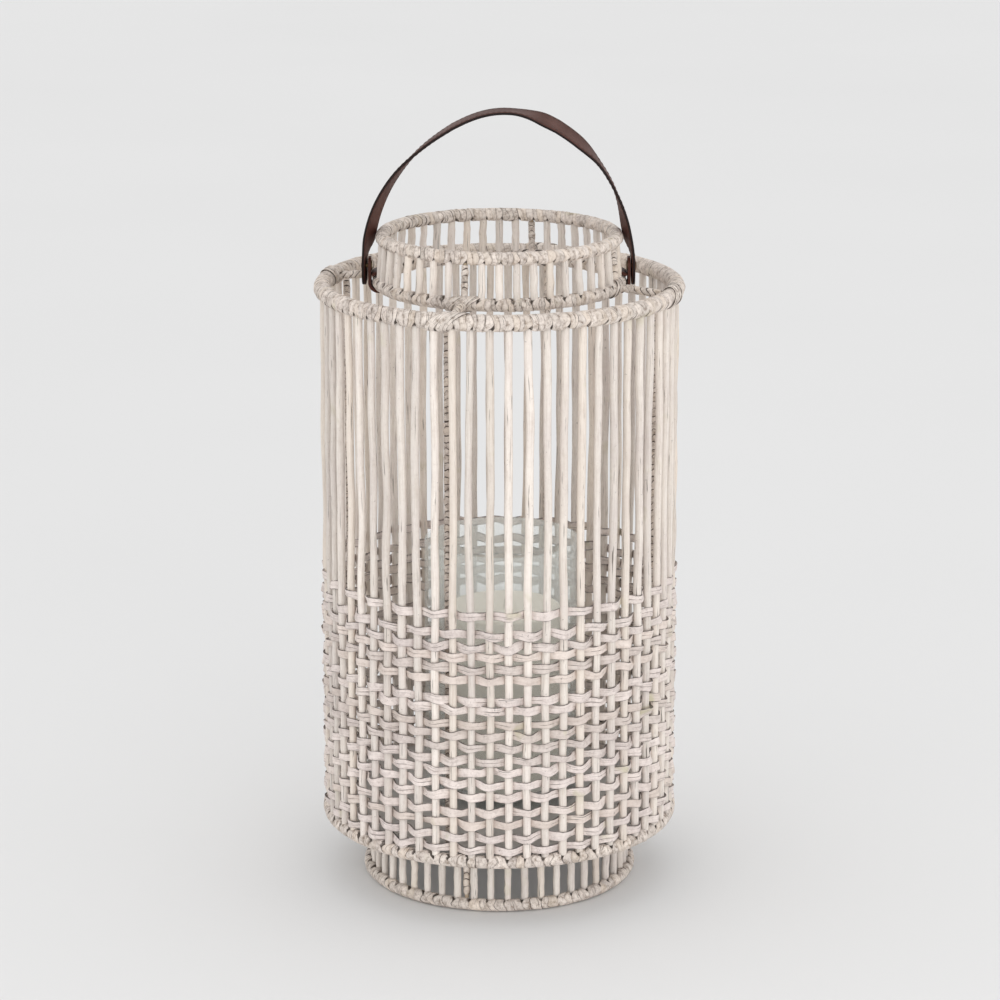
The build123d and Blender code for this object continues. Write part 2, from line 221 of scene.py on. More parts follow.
def ring_of(node):
    """Ring radius, tube radius and height of a hoop-shaped node, from its box."""
    low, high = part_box(node)
    tube = (high.z - low.z) / 2
    return (high.x - low.x) / 2 - tube, tube, (high.z + low.z) / 2


def on_circle(radius, turn, height):
    """Points at a radius, a turn from the front towards +X, and a height; all broadcast."""
    radius, turn, height = np.broadcast_arrays(radius, turn, height)
    return np.stack([radius * np.sin(turn), -radius * np.cos(turn), height], axis=-1)


def round_turn(count):
    """Angles of a number of even places round a full turn."""
    return np.arange(count) / count * 2 * np.pi


def ring_points(centre, side, other, reach, v):
    """Points round a line: centre + side * reach cos(v) + other * reach sin(v)."""
    return (centre + side * (reach * np.cos(v))[..., None]
            + other * (reach * np.sin(v))[..., None])


def normalised(vectors):
    """Vectors divided by their lengths."""
    return vectors / np.linalg.norm(vectors, axis=-1, keepdims=True)


def reach_along(path):
    """Distance from a path's first point to each of its points: the sum of the steps between."""
    steps = np.linalg.norm(np.diff(path, axis=-2), axis=-1)
    return np.concatenate([np.zeros((*steps.shape[:-1], 1)), np.cumsum(steps, axis=-1)], axis=-1)


def grain_map(along, across):
    """One map from two broadcast arrays: millimetres along and across a piece's grain."""
    return np.stack(np.broadcast_arrays(along, across), axis=-1)


def even_tint(count, spans, around, rng):
    """Two random numbers from 0 to 1 for each of the tubes, the same over all its quads."""
    return np.broadcast_to(rng.uniform(0, 1, (count, 1, 1, 2)), (count, spans, around, 2))


def waves(where, rows, lowest, highest, size, rng):
    """Smooth closed wander: a sum of sines of whole frequencies with random phases.

    Each row sums strength * sin(2 pi (frequency * where) + phase), scaled to the size given.
    """
    frequency = np.arange(lowest, highest + 1)
    phase = rng.uniform(0, 2 * np.pi, (rows, len(frequency), 1))
    strength = rng.normal(size=(rows, len(frequency), 1)) / math.sqrt(len(frequency))
    angle = 2 * np.pi * frequency[None, :, None] * np.asarray(where)[None, None, :]
    return size * (strength * np.sin(angle + phase)).sum(axis=1)


def smooth_step(value):
    """0 below 0, 1 above 1, and 3v^2 - 2v^3 between."""
    value = np.clip(value, 0.0, 1.0)
    return value * value * (3 - 2 * value)


def mesh_piece(name, points, grain, tint, painted_shade=None, close_along=False,
               sharp=math.radians(48.0)):
    """A mesh piece of N equal tubes, each a grid of rings.

    The points are (N, rings, around, 3). Quads join ring to ring and point to point, the last
    point to the first; rings close on the first again, or the two end rings get flat caps. The
    grain map is given on the corners of the unrolled grid, the tint map once for each quad and
    the painted shade map (1 where shade is painted into a crevice, 0 on a crown) at each point.
    """
    count, rings, around = points.shape[:3]
    spans = rings if close_along else rings - 1
    i, j = np.meshgrid(np.arange(spans), np.arange(around), indexing="ij")
    corner_i = np.stack([i, i + 1, i + 1, i], axis=-1)
    corner_j = np.stack([j, j, j + 1, j + 1], axis=-1)
    one = (corner_i % rings) * around + corner_j % around
    start = np.arange(count)[:, None, None, None] * rings * around
    quads = (start + one[None]).reshape(-1, 4)
    grain_loops = grain[:, corner_i, corner_j].reshape(-1, 2)
    painted_shade = np.zeros((count, rings, around)) if painted_shade is None else painted_shade
    painted_shade = np.broadcast_to(painted_shade, (count, rings, around)).reshape(-1)
    tint_loops = np.repeat(tint.reshape(-1, 2), 4, axis=0)
    loops = quads.ravel()
    starts = np.arange(len(quads)) * 4
    if not close_along:
        ring = np.arange(around)
        base = np.arange(count)[:, None] * rings * around
        low = base + ring[None]
        high = base + (rings - 1) * around + ring[None, ::-1]
        caps = np.stack([low, high], axis=1).reshape(-1)
        ends = np.stack([grain[:, 0, :around], grain[:, -1, :around]], axis=1).reshape(-1, 2)
        cap_tint = np.repeat(tint.reshape(count, -1, 2)[:, 0], 2 * around, axis=0)
        starts = np.concatenate([starts, len(loops) + np.arange(2 * count) * around])
        loops = np.concatenate([loops, caps])
        grain_loops = np.concatenate([grain_loops, ends])
        tint_loops = np.concatenate([tint_loops, cap_tint])
    flat = points.reshape(-1, 3)
    corner = flat[quads]
    volume = np.einsum("ij,ij->i", corner[:, 0], np.cross(corner[:, 1], corner[:, 2])).sum()
    volume += np.einsum("ij,ij->i", corner[:, 0], np.cross(corner[:, 2], corner[:, 3])).sum()
    mesh = bpy.data.meshes.new(name)
    mesh.vertices.add(len(flat))
    mesh.vertices.foreach_set("co", flat.ravel().astype(np.float32))
    mesh.loops.add(len(loops))
    mesh.loops.foreach_set("vertex_index", loops.astype(np.int32))
    mesh.polygons.add(len(starts))
    mesh.polygons.foreach_set("loop_start", starts.astype(np.int32))
    mesh.polygons.foreach_set("use_smooth", np.ones(len(starts), bool))
    # The painted shade map becomes its own map layer; the cane finish darkens crevices by it.
    painted_shade_loops = np.stack([painted_shade[loops], np.zeros(len(loops))], axis=1)
    for layer, values in (("grain", grain_loops), ("tint", tint_loops), ("painted_shade", painted_shade_loops)):
        mesh.uv_layers.new(name=layer).data.foreach_set("uv", values.ravel().astype(np.float32))
    mesh.update(calc_edges=True)
    if volume < 0:
        mesh.flip_normals()
    mesh.set_sharp_from_angle(angle=sharp)
    mesh.validate()
    piece = bpy.data.objects.new(name, mesh)
    bpy.context.scene.collection.objects.link(piece)
    return piece


def finish_piece(piece, body, slot, material, *nodes):
    """Give a piece its finish, hang it on its body and hide the nodes it stands for."""
    piece.data.materials.append(material)
    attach(piece, body)
    if nodes:
        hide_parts(*nodes)
    return piece


def frames_along(path):
    """Unit tangents of a path (..., points, 3) by central differences."""
    return normalised(np.gradient(path, axis=-2))


def rods(name, low, high, radius, rows, around, cfg, rng, wander, aside=0.0):
    """Round willow rods that stand in a circle, between end points (N, 3).

    A rod is a circle carried along a straight line, with a wander that fades out at both ends,
    and a radius that swells and shrinks slowly and at a few low knots. Shifts round the circle,
    in aside (N, rows), are added to the wander.
    """
    count = len(low)
    t = np.linspace(0, 1, rows)
    axis = high - low
    span = np.linalg.norm(axis, axis=1)
    along = axis / span[:, None]
    side = normalised(np.cross(along, low * np.array([1.0, 1.0, 0.0])))
    other = np.cross(along, side)
    fade = smooth_step(t / ROD_FADE) * smooth_step((1 - t) / ROD_FADE)
    sway = waves(t, count, 1, 5, wander, rng) * fade + aside
    lean = waves(t, count, 1, 5, wander, rng) * fade
    centre = (low[:, None] + axis[:, None] * t[None, :, None] + side[:, None] * sway[..., None]
              + other[:, None] * lean[..., None])
    swell = 1 + waves(t, count, 1, 9, cfg.unevenness, rng)
    knot_at = rng.uniform(0.08, 0.92, (count, 3, 1))
    knot = np.exp(-((t[None, None] - knot_at) * span[:, None, None] / KNOT_LENGTH) ** 2)
    swell += KNOT_SWELL * knot.sum(axis=1)
    swell = np.minimum(swell, SWELL_LIMIT)
    v = round_turn(around)
    oval = 1 + ROD_OVAL * np.cos(2 * v[None] + rng.uniform(0, 6.28, (count, 1)))
    reach = radius * ROD_SHARE * swell[:, :, None] * oval[:, None, :]
    points = ring_points(centre[:, :, None], side[:, None, None], other[:, None, None], reach, v)
    round_mm = np.arange(around + 1) / around * 2 * np.pi * radius / MM
    along_mm = t[None, :] * span[:, None] / MM + rng.uniform(0, 4000, (count, 1))
    grain = grain_map(along_mm[:, :, None], round_mm)
    return mesh_piece(name, points, grain, even_tint(count, rows - 1, around, rng))


WRAP_ACROSS = np.array([0.0, 0.045, 0.16, 0.84, 0.955, 1.0])
WRAP_RISE = np.array([-0.1, 0.72, 1.0, 1.0, 0.78, 0.0])
# Painted shade across a turn and its seam: darker at the edges, darkest in the seam.
WRAP_PAINTED_SHADE = np.array([0.5, 0.1, 0.0, 0.0, 0.1, 0.5, 0.72])


def wind(cells, per_cell, around, pitch, tube, cfg, rng, stake=0.0, stake_side=0.0,
         seam=1.0):
    """Cane wound round a tube, as (position along, radius, grain, tint, painted shade).

    The length is cut into cells with a few turns each. Across a turn the radius rises steeply
    from one edge to a flat face and falls again, and one edge rides over the next turn. Every
    edge leans with the sine of the angle round the tube, stands off its even place and wanders.
    Where a cell meets the next, the edges part round a stake that comes in at the stake side:
    the half gap is the stake's half width there, sqrt(stake^2 - (tube sin d)^2), and a slit
    stays open beside the stake and tapers off round the tube. Positions are in turns, and seam
    scales the painted shade along the edges: shade painted along the seams, darkest in the slits.
    """
    turns = cells * per_cell
    v = round_turn(around)
    t = np.arange(around) / around
    away = np.abs((v - stake_side + np.pi) % (2 * np.pi) - np.pi)
    free = smooth_step(away / EDGE_FREE)
    edge = np.arange(turns + 1, dtype=float)[:, None] + cfg.wrap_slant / pitch * np.sin(
        v - stake_side)[None]
    loose = waves(t, turns + 1, 1, 3, 0.13, rng) + rng.uniform(-0.2, 0.2, (turns + 1, 1))
    loose[-1] = loose[0]
    edge += loose * np.where((np.arange(turns + 1) % per_cell == 0)[:, None], free[None], 1.0)
    reach = np.sqrt(np.clip(stake ** 2 - (tube * np.sin(away)) ** 2, 0, None))
    reach = np.where(away < math.pi / 2, reach, 0.0)
    tail = smooth_step((SLIT_END - away) / SLIT_TAPER)
    slit = rng.uniform(0.25, 1.0, (cells + 1, 2)) * cfg.slit_width * np.array([1.0, 0.35])
    slit[-1] = slit[0]
    opened = 1.0 if stake else 0.0
    before = (reach[None] + slit[:, :1] * tail[None]) / pitch * opened
    after = (reach[None] + slit[:, 1:] * tail[None]) / pitch * opened
    cell = np.arange(turns) // per_cell
    inside = (np.arange(turns) % per_cell) / per_cell

    def squeezed(share):
        """Shift of an edge at a share of its cell, pushed off the stakes at both sides."""
        return after[cell] * (1 - share)[:, None] - before[cell + 1] * share[:, None]

    near = edge[:-1] + squeezed(inside)
    far = edge[1:] + squeezed(inside + 1 / per_cell)
    hair = rng.uniform(0.01, 0.045, (turns, 1)) * seam
    near, far = near + hair, far - hair
    lift = cfg.wrap_lift * rng.uniform(-0.25, 1.0, (turns, 1)) * (
        0.6 + 0.4 * np.sin(v[None] + rng.uniform(0, 6.28, (turns, 1))))
    crown = cfg.wrap_thickness * rng.uniform(0.7, 1.0, (turns, 1))
    ride = np.clip(lift[:, None], 0, None) * WRAP_ACROSS[None, :, None] + np.clip(
        -lift[:, None], 0, None) * (1 - WRAP_ACROSS[None, :, None])
    rise = crown[:, None] * WRAP_RISE[None, :, None] + ride
    along = near[:, None] + (far - near)[:, None] * WRAP_ACROSS[None, :, None]
    seam_at = (along[:, -1] + np.concatenate([near[1:], near[:1] + turns])) / 2
    ends_cell = (np.arange(1, turns + 1) % per_cell == 0)[:, None]
    deep = (before + after)[cell + 1] / 2 * ends_cell
    seam_rise = -(SEAM_SINK + np.clip(deep * pitch * 0.8, 0, OPEN_SINK))
    along = np.concatenate([along, seam_at[:, None]], axis=1)
    rise = np.concatenate([rise, seam_rise[:, None]], axis=1)
    columns = len(WRAP_ACROSS) + 1
    room = tube - cfg.wrap_thickness - cfg.wrap_lift
    radius = room + rise
    across_mm = np.append(WRAP_ACROSS, 1.15) * pitch / MM
    start_mm = rng.uniform(0, 4000, turns)
    round_mm = np.arange(around + 1) / around * (2 * np.pi * tube / MM)
    grain = grain_map(start_mm[:, None, None] + round_mm, across_mm[None, :, None])
    grain = grain.reshape(turns * columns, around + 1, 2)
    tint = np.repeat(rng.uniform(0, 1, (turns, 2)), columns, axis=0)
    tint = np.broadcast_to(tint[:, None], (turns * columns, around, 2))
    # Painted shade: each turn's edges and seam are darkened, and an open slit beside a stake is
    # painted darkest.
    each = seam * rng.uniform(0.45, 1.25, (turns, 1, 1))
    painted_shade = np.minimum(WRAP_PAINTED_SHADE[None, :, None] * each * np.ones(around), 1.0)
    open_end = np.clip(deep * pitch / (0.5 * MM), 0, 1)
    painted_shade[:, -1] = np.maximum(painted_shade[:, -1], open_end)
    painted_shade[:, -2] = np.maximum(painted_shade[:, -2], 0.75 * open_end)
    painted_shade[1:, 0] = np.maximum(painted_shade[1:, 0], 0.75 * open_end[:-1])
    painted_shade = painted_shade.reshape(-1, around)
    return along.reshape(-1, around), radius.reshape(-1, around), grain, tint, painted_shade


def wound_hoop(name, node, cells, first_turn, stake, stake_side, around, cfg, rng, per_cell):
    """Cane binding over a hoop: a wound tube whose middle runs round the hoop's circle."""
    ring, tube, height = ring_of(node)
    pitch = 2 * np.pi * ring / (cells * per_cell)
    along, radius, grain, tint, painted_shade = wind(cells, per_cell, around, pitch, tube, cfg, rng,
                                            stake, stake_side)
    v = round_turn(around)
    turn = first_turn + along / (cells * per_cell) * 2 * np.pi
    points = on_circle(ring + radius * np.cos(v), turn, height + radius * np.sin(v))
    points[..., 2] = np.maximum(points[..., 2], cad_low.z)
    grain = np.concatenate([grain, grain[:1]])
    return mesh_piece(name, points[None], grain[None], tint[None], painted_shade[None], True)


def wound_rods(name, low, high, tube, pitch, around, cfg, rng):
    """Cane binding over straight rods between end points (N, 3), each end closed flat."""
    pieces = []
    for start, end in zip(low, high):
        axis = end - start
        span = np.linalg.norm(axis)
        turns = max(3, round(span / pitch))
        # A larger seam paints darker shade between the turns of a post.
        along, radius, grain, tint, painted_shade = wind(turns, 1, around, span / turns, tube, cfg, rng,
                                                seam=1.9)
        along = np.clip(along / turns, 0.0, 1.0) * span
        along[0], along[-1] = 0.0, span
        unit = axis / span
        side = np.cross(unit, (0.0, 0.0, 1.0) if abs(unit[2]) < 0.9 else (0.0, 1.0, 0.0))
        side /= np.linalg.norm(side)
        points = ring_points(start + along[..., None] * unit, side, np.cross(unit, side), radius,
                             round_turn(around))
        pieces.append(mesh_piece(name, points[None], grain[None], tint[None, :-1], painted_shade[None]))
    return join(name, pieces)


def join(name, pieces):
    """One piece from several, with its parts kept as separate shells."""
    first = pieces[0]
    with bpy.context.temp_override(active_object=first, selected_editable_objects=pieces,
                                   object=first, selected_objects=pieces):
        bpy.ops.object.join()
    first.name = name
    first.data.name = name
    return first


def band(name, path, normal, width, thickness, profile, rng, closed, groove=0.0):
    """Flat strips carried along paths (N, points, 3).

    Each profile point is (share of half width, share of half thickness). A strip's side is the
    cross product of its tangent and its normal, and a groove may sink the profile's middle.
    The painted shade map is 1 in a deep groove and rises towards the strip's edges: shade painted
    into the groove and along the edges.
    """
    if closed:
        wrapped = np.concatenate([path[:, -1:], path, path[:, :1]], axis=1)
        tangent = frames_along(wrapped)[:, 1:-1]
    else:
        tangent = frames_along(path)
    side = normalised(np.cross(tangent, normal))
    lift = np.cross(side, tangent)
    across = np.broadcast_to(width, path.shape[:2])[..., None] / 2 * profile[:, 0]
    height = np.broadcast_to(thickness, path.shape[:2])[..., None] / 2 * profile[:, 1]
    groove = np.broadcast_to(groove, path.shape[:2])[..., None]
    in_groove = (np.abs(profile[:, 0]) < 0.01) & (profile[:, 1] > 0)
    height = height - groove * in_groove
    # Painted shade: a dark outline along the strip's edges and a dark line in the groove.
    painted_shade = np.clip((np.abs(profile[:, 0]) - 0.78) * 4.5, 0, 0.85) * (profile[:, 1] < 0.8)
    painted_shade = painted_shade + in_groove * np.clip(groove / np.mean(thickness) * 2.4, 0, 1)
    points = (path[:, :, None] + side[:, :, None] * across[..., None]
              + lift[:, :, None] * height[..., None])
    count, rows, around = points.shape[:3]
    reach = reach_along(path)
    if closed:
        last = np.linalg.norm(path[:, 0] - path[:, -1], axis=-1)
        reach = np.concatenate([reach, reach[:, -1:] + last[:, None]], axis=1)
    along_mm = reach / MM + rng.uniform(0, 4000, (count, 1))
    outline = np.concatenate([profile, profile[:1]]) * np.array(
        [np.mean(width) / 2, np.mean(thickness) / 2])
    grain = grain_map(along_mm[:, :, None], reach_along(outline) / MM)
    tint = even_tint(count, rows if closed else rows - 1, around, rng)
    return mesh_piece(name, points, grain, tint, painted_shade, closed)


STRIP_PROFILE = np.array([
    (-1.0, 0.0), (-0.94, 0.7), (-0.78, 1.0), (-0.3, 0.98), (-0.07, 0.96), (0.0, 0.96),
    (0.07, 0.96), (0.4, 0.98), (0.78, 1.0), (0.94, 0.7), (1.0, 0.0), (0.92, -0.85), (0.4, -1.0),
    (-0.4, -1.0), (-0.92, -0.85)])


def lathe(name, profile, middle, around, rng, wobble=0.0):
    """A turned piece: the profile (points of radius and height) carried round a vertical axis."""
    profile = np.asarray(profile, float)
    turn = round_turn(around)
    ripple = 1 + waves(np.arange(around) / around, 1, 2, 7, wobble, rng)[0]
    radius = profile[:, :1] * ripple[None]
    points = on_circle(radius, turn[None], profile[:, 1:])
    points[..., 0] += middle[0]
    points[..., 1] += middle[1]
    round_mm = np.arange(around + 1) / around * 2 * np.pi * (profile[:, 0].max() / MM)
    grain = grain_map(reach_along(profile)[None, :, None] / MM, round_mm)
    tint = even_tint(1, len(profile) - 1, around, rng)
    return mesh_piece(name, points[None], grain, tint, sharp=math.radians(60.0))


def arc(middle, radius, start, end, steps):
    """Points of a circular arc in the (radius, height) plane, angles in degrees."""
    angle = np.radians(np.linspace(start, end, steps))
    return np.stack([middle[0] + radius * np.cos(angle), middle[1] + radius * np.sin(angle)], 1)


# ---- Materials -----------------------------------------------------------------------------

def scaled(tone, *factors):
    """A colour times one factor, or one factor for each channel."""
    return tuple(c * f for c, f in zip(tone, factors if len(factors) == 3 else factors * 3))


class Nodes:
    """A material's node tree, with short ways to add and join nodes."""

    def __init__(self, name):
        self.material = bpy.data.materials.new(name)
        self.material.use_nodes = True
        self.tree = self.material.node_tree
        self.tree.nodes.clear()
        self.output = self.tree.nodes.new("ShaderNodeOutputMaterial")
        self.shader = self.tree.nodes.new("ShaderNodeBsdfPrincipled")
        self.join(self.shader.outputs[0], self.output.inputs["Surface"])

    def join(self, source, target):
        """Link an output to an input."""
        self.tree.links.new(source, target)

    def add(self, kind, values=(), **settings):
        """New node, with settings by name and inputs by position or name."""
        node = self.tree.nodes.new(kind)
        for key, value in settings.items():
            setattr(node, key, value)
        for key, value in dict(values).items():
            if isinstance(value, bpy.types.NodeSocket):
                self.join(value, node.inputs[key])
            else:
                node.inputs[key].default_value = value
        return node

    def feed(self, **values):
        """Link or set inputs of the shader, named with _ for a space."""
        for name, value in values.items():
            target = self.shader.inputs[name.replace("_", " ")]
            if isinstance(value, bpy.types.NodeSocket):
                self.join(value, target)
            else:
                target.default_value = value

    def place(self, scale=(1.0, 1.0, 1.0), layer=None):
        """Object coordinates or a map of the piece, scaled on each axis."""
        if layer:
            source = self.add("ShaderNodeUVMap", uv_map=layer).outputs[0]
        else:
            source = self.add("ShaderNodeTexCoord").outputs["Object"]
        return self.add("ShaderNodeMapping", {"Vector": source, "Scale": scale}).outputs[0]

    def parts(self, layer):
        """The two numbers of a map of the piece."""
        return self.add("ShaderNodeSeparateXYZ", {0: self.place(layer=layer)}).outputs

    def noise(self, vector, scale, detail=3.0, roughness=0.55, distortion=0.0):
        """Noise from 0 to 1 at a scale."""
        return self.add("ShaderNodeTexNoise", {
            "Vector": vector, "Scale": scale, "Detail": detail, "Roughness": roughness,
            "Distortion": distortion}).outputs["Fac"]

    def ramp(self, factor, low, high, out_low=0.0, out_high=1.0):
        """Maps low..high to out_low..out_high, clamped."""
        return self.add("ShaderNodeMapRange", {
            "Value": factor, "From Min": low, "From Max": high, "To Min": out_low,
            "To Max": out_high}).outputs[0]

    def mix(self, factor, first, second, blend="MIX"):
        """Mixes two colours."""
        node = self.add("ShaderNodeMix", data_type="RGBA", blend_type=blend)
        for key, value in ((0, factor), (6, first), (7, second)):
            if isinstance(value, bpy.types.NodeSocket):
                self.join(value, node.inputs[key])
            elif key == 0:
                node.inputs[0].default_value = value
            else:
                node.inputs[key].default_value = (*value, 1.0)
        return node.outputs[2]

    def maths(self, operation, first, second=0.0):
        """One step of arithmetic on numbers."""
        return self.add("ShaderNodeMath", {0: first, 1: second}, operation=operation).outputs[0]

    def bump(self, height, strength, distance):
        """Bump from a height, into the shader's normal."""
        node = self.add("ShaderNodeBump", {"Height": height, "Strength": strength,
                                           "Distance": distance})
        self.join(node.outputs[0], self.shader.inputs["Normal"])


def washed_cane(name, pale, shade, stain, across, stained, speck, mottled):
    """Whitewashed split cane or rod: streaks along the grain, uneven wash, stains and specks.

    The streaks are noise stretched along the piece's own grain map, in millimetres. Each turn or
    rod is a little lighter or darker by its tint, and patches in Object coordinates grey it.
    """
    n = Nodes(name)
    fine = n.noise(n.place((0.035, across, 1.0), "grain"), 1.0, 4.0, 0.6, 0.3)
    broad = n.noise(n.place((0.012, across * 0.3, 1.0), "grain"), 1.0, 2.0)
    tint = n.parts("tint")
    place = n.place()
    patches = n.noise(place, 16.0, 3.0, 0.6)
    blots = n.noise(place, 34.0, 2.0, 0.5, 0.6)
    dots = n.noise(place, 420.0, 2.0, 0.5)
    crack = n.noise(n.place((0.022, across * 0.8, 1.0), "grain"), 1.0, 3.0, 0.6, 0.2)
    mottle = n.noise(place, 260.0, 3.0, 0.7)
    # Painted shade map: 1 in crevices, seams, slits and along strip edges.
    crevice_shade = n.parts("painted_shade")[0]
    streak = n.maths("MULTIPLY", n.ramp(fine, 0.46, 0.74), n.ramp(broad, 0.3, 0.75, 0.35, 1.0))
    base = n.mix(n.maths("MULTIPLY", streak, 0.8), pale, shade)
    grey = scaled(pale, 0.78, 0.75, 0.78)
    wash = tuple(min(0.93, c * 1.13) for c in pale)
    base = n.mix(n.ramp(patches, 0.42, 0.72, 0.0, 0.5), base, grey)
    base = n.mix(n.ramp(mottle, 0.50, 0.72, 0.0, 0.75 * mottled), base, shade)
    base = n.mix(n.ramp(mottle, 0.48, 0.34, 0.0, 0.55 * mottled), base, wash)
    warm = scaled(pale, 1.0, 0.92, 0.80)
    base = n.mix(n.ramp(tint[1], 0.6, 1.0, 0.0, 0.35), base, warm)
    dark = scaled(shade, 0.22)
    base = n.mix(n.ramp(crack, 0.635, 0.68, 0.0, 0.85), base, dark)
    light = n.ramp(tint[0], 0.0, 1.0, 0.84, 1.02)
    value = n.add("ShaderNodeCombineXYZ", {0: light, 1: light, 2: light}).outputs[0]
    base = n.mix(1.0, base, value, "MULTIPLY")
    base = n.mix(n.ramp(blots, 0.66, 0.76, 0.0, stained), base, stain)
    base = n.mix(n.ramp(dots, 0.70, 0.76, 0.0, speck), base, dark)
    broken = n.noise(place, 150.0, 3.0, 0.6)
    # Painted shade: crevices and edges darkened towards the dark grain colour, broken up by noise.
    rough = n.maths("ADD", crevice_shade, n.ramp(broken, 0.25, 0.75, -0.45, 0.35))
    base = n.mix(n.ramp(rough, 0.30, 0.80, 0.0, 0.95), base, dark)
    n.feed(Base_Color=base, Roughness=n.ramp(fine, 0.3, 0.8, 0.62, 0.82),
           Specular_IOR_Level=0.3)
    n.bump(n.maths("ADD", n.ramp(fine, 0.3, 0.8), n.ramp(mottle, 0.3, 0.8, 0.0, 0.6 * mottled)),
           0.7, 0.45 * MM)
    return n.material


def plain_fibre(name, pale, shade):
    """Rods that bindings hide, and thread: two tones with grain in Object coordinates."""
    n = Nodes(name)
    grain = n.noise(n.place((90.0, 90.0, 22.0)), 3.0, 4.0)
    n.feed(Base_Color=n.mix(n.ramp(grain, 0.35, 0.7), pale, shade),
           Roughness=n.ramp(grain, 0.3, 0.8, 0.6, 0.8))
    n.bump(grain, 0.4, 0.3 * MM)
    return n.material


def washed_board(name, tone):
    """Grey-washed plywood: long grain, wash left in the pores, and dark plies at the edge."""
    n = Nodes(name)
    long_grain = n.noise(n.place((26.0, 420.0, 420.0)), 1.0, 5.0, 0.62, 0.8)
    cloudy = n.noise(n.place(), 22.0, 3.0)
    plies = n.add("ShaderNodeTexWave", {"Vector": n.place(), "Scale": 90.0, "Distortion": 0.4},
                  wave_type="BANDS", bands_direction="Z").outputs["Fac"]
    dark = scaled(tone, 0.55)
    pale = tuple(min(1.0, c * 1.55) for c in tone)
    base = n.mix(n.ramp(long_grain, 0.42, 0.66), dark, tone)
    base = n.mix(n.ramp(cloudy, 0.4, 0.75, 0.0, 0.7), base, pale)
    base = n.mix(n.ramp(plies, 0.62, 0.72, 0.0, 0.25), base, dark)
    n.feed(Base_Color=base, Roughness=n.ramp(long_grain, 0.3, 0.8, 0.6, 0.85))
    n.bump(long_grain, 0.5, 0.3 * MM)
    return n.material


def strap_leather(name, face, edge):
    """Dark strap leather: pebbled grain, pull-up marks, rubbed high spots, edges in painted shade.

    The tint map holds 0 on the two faces and 1 on the cut edges.
    """
    n = Nodes(name)
    place = n.place()
    pebble = n.add("ShaderNodeTexVoronoi", {"Vector": place, "Scale": 950.0},
                   feature="SMOOTH_F1").outputs["Distance"]
    crease = n.noise(n.place((210.0, 210.0, 520.0)), 1.0, 4.0, 0.6, 0.5)
    worn = n.noise(place, 38.0, 4.0, 0.6)
    part = n.parts("tint")
    rubbed = scaled(face, 1.75)
    base = n.mix(n.ramp(worn, 0.42, 0.72, 0.0, 0.65), face, rubbed)
    base = n.mix(n.ramp(crease, 0.55, 0.72, 0.0, 0.45), base, scaled(face, 0.45))
    # Painted shade: the cut edges take the near-black edge colour.
    base = n.mix(n.ramp(part[0], 0.4, 0.6), base, edge)
    n.feed(Base_Color=base, Roughness=n.ramp(worn, 0.3, 0.75, 0.62, 0.44),
           Specular_IOR_Level=0.20)
    n.bump(n.maths("ADD", n.ramp(pebble, 0.0, 0.7), n.ramp(crease, 0.4, 0.7, 0.0, 0.8)), 0.35,
           0.25 * MM)
    return n.material


def aged_metal(name, bright, dark, scale, rough):
    """Metal with dull patches and fine scratches."""
    n = Nodes(name)
    place = n.place()
    dull = n.noise(place, scale, 4.0, 0.65)
    scratch = n.noise(n.place((2400.0, 500.0, 500.0)), 1.0, 2.0)
    n.feed(Base_Color=n.mix(n.ramp(dull, 0.35, 0.68), bright, dark),
           Roughness=n.ramp(dull, 0.3, 0.75, rough, rough + 0.3), Metallic=1.0)
    n.bump(scratch, 0.2, 0.05 * MM)
    return n.material


def clear_glass(name):
    """Clear glass, faintly warm, with a body colour that deepens with thickness and faint smears."""
    n = Nodes(name)
    smear = n.noise(n.place((30.0, 30.0, 9.0)), 1.0, 3.0, 0.6, 0.4)
    n.feed(Transmission_Weight=1.0, IOR=1.5, Base_Color=(0.93, 0.88, 0.82, 1.0),
           Roughness=n.ramp(smear, 0.5, 0.85, 0.0, 0.035))
    body = n.add("ShaderNodeVolumeAbsorption",
                 {"Color": (0.52, 0.52, 0.42, 1.0), "Density": 17.0})
    n.join(body.outputs[0], n.output.inputs["Volume"])
    return n.material


def candle_wax(name, tone):
    """Cream wax: soft light in the body, cloudy colour, and a faint sweat on the surface."""
    n = Nodes(name)
    place = n.place()
    cloud = n.noise(place, 28.0, 4.0, 0.6)
    pits = n.noise(place, 380.0, 3.0, 0.6)
    pale = tuple(min(1.0, c * 1.06) for c in tone)
    deep = scaled(tone, 0.95, 0.88, 0.74)
    n.feed(Base_Color=n.mix(n.ramp(cloud, 0.35, 0.7), pale, deep), Subsurface_Weight=0.35,
           Subsurface_Radius=(1.0, 0.55, 0.28), Subsurface_Scale=4.0 * MM,
           Roughness=n.ramp(cloud, 0.3, 0.8, 0.38, 0.52))
    n.bump(n.maths("ADD", n.ramp(cloud, 0.3, 0.8), n.ramp(pits, 0.5, 0.8, 0.0, 0.25)), 0.3,
           0.4 * MM)
    return n.material


def wick_cotton(name):
    """Braided wick, waxed below and charred at the tip."""
    n = Nodes(name)
    part = n.parts("tint")
    braid = n.add("ShaderNodeTexWave",
                  {"Vector": n.place(layer="grain"), "Scale": 0.9, "Distortion": 1.0},
                  bands_direction="DIAGONAL").outputs["Fac"]
    base = n.mix(n.ramp(braid, 0.2, 0.8), (0.50, 0.44, 0.34), (0.72, 0.66, 0.54))
    base = n.mix(n.ramp(part[0], 0.35, 0.7), base, (0.015, 0.012, 0.010))
    n.feed(Base_Color=base, Roughness=0.85)
    n.bump(braid, 0.6, 0.3 * MM)
    return n.material


def pale_floor(name, tone):
    """Plain pale floor with the faintest unevenness."""
    n = Nodes(name)
    cloud = n.noise(n.place(), 1.3, 2.0)
    n.feed(Base_Color=n.mix(n.ramp(cloud, 0.3, 0.7), tone, scaled(tone, 0.985)), Roughness=0.9,
           Specular_IOR_Level=0.1)
    return n.material


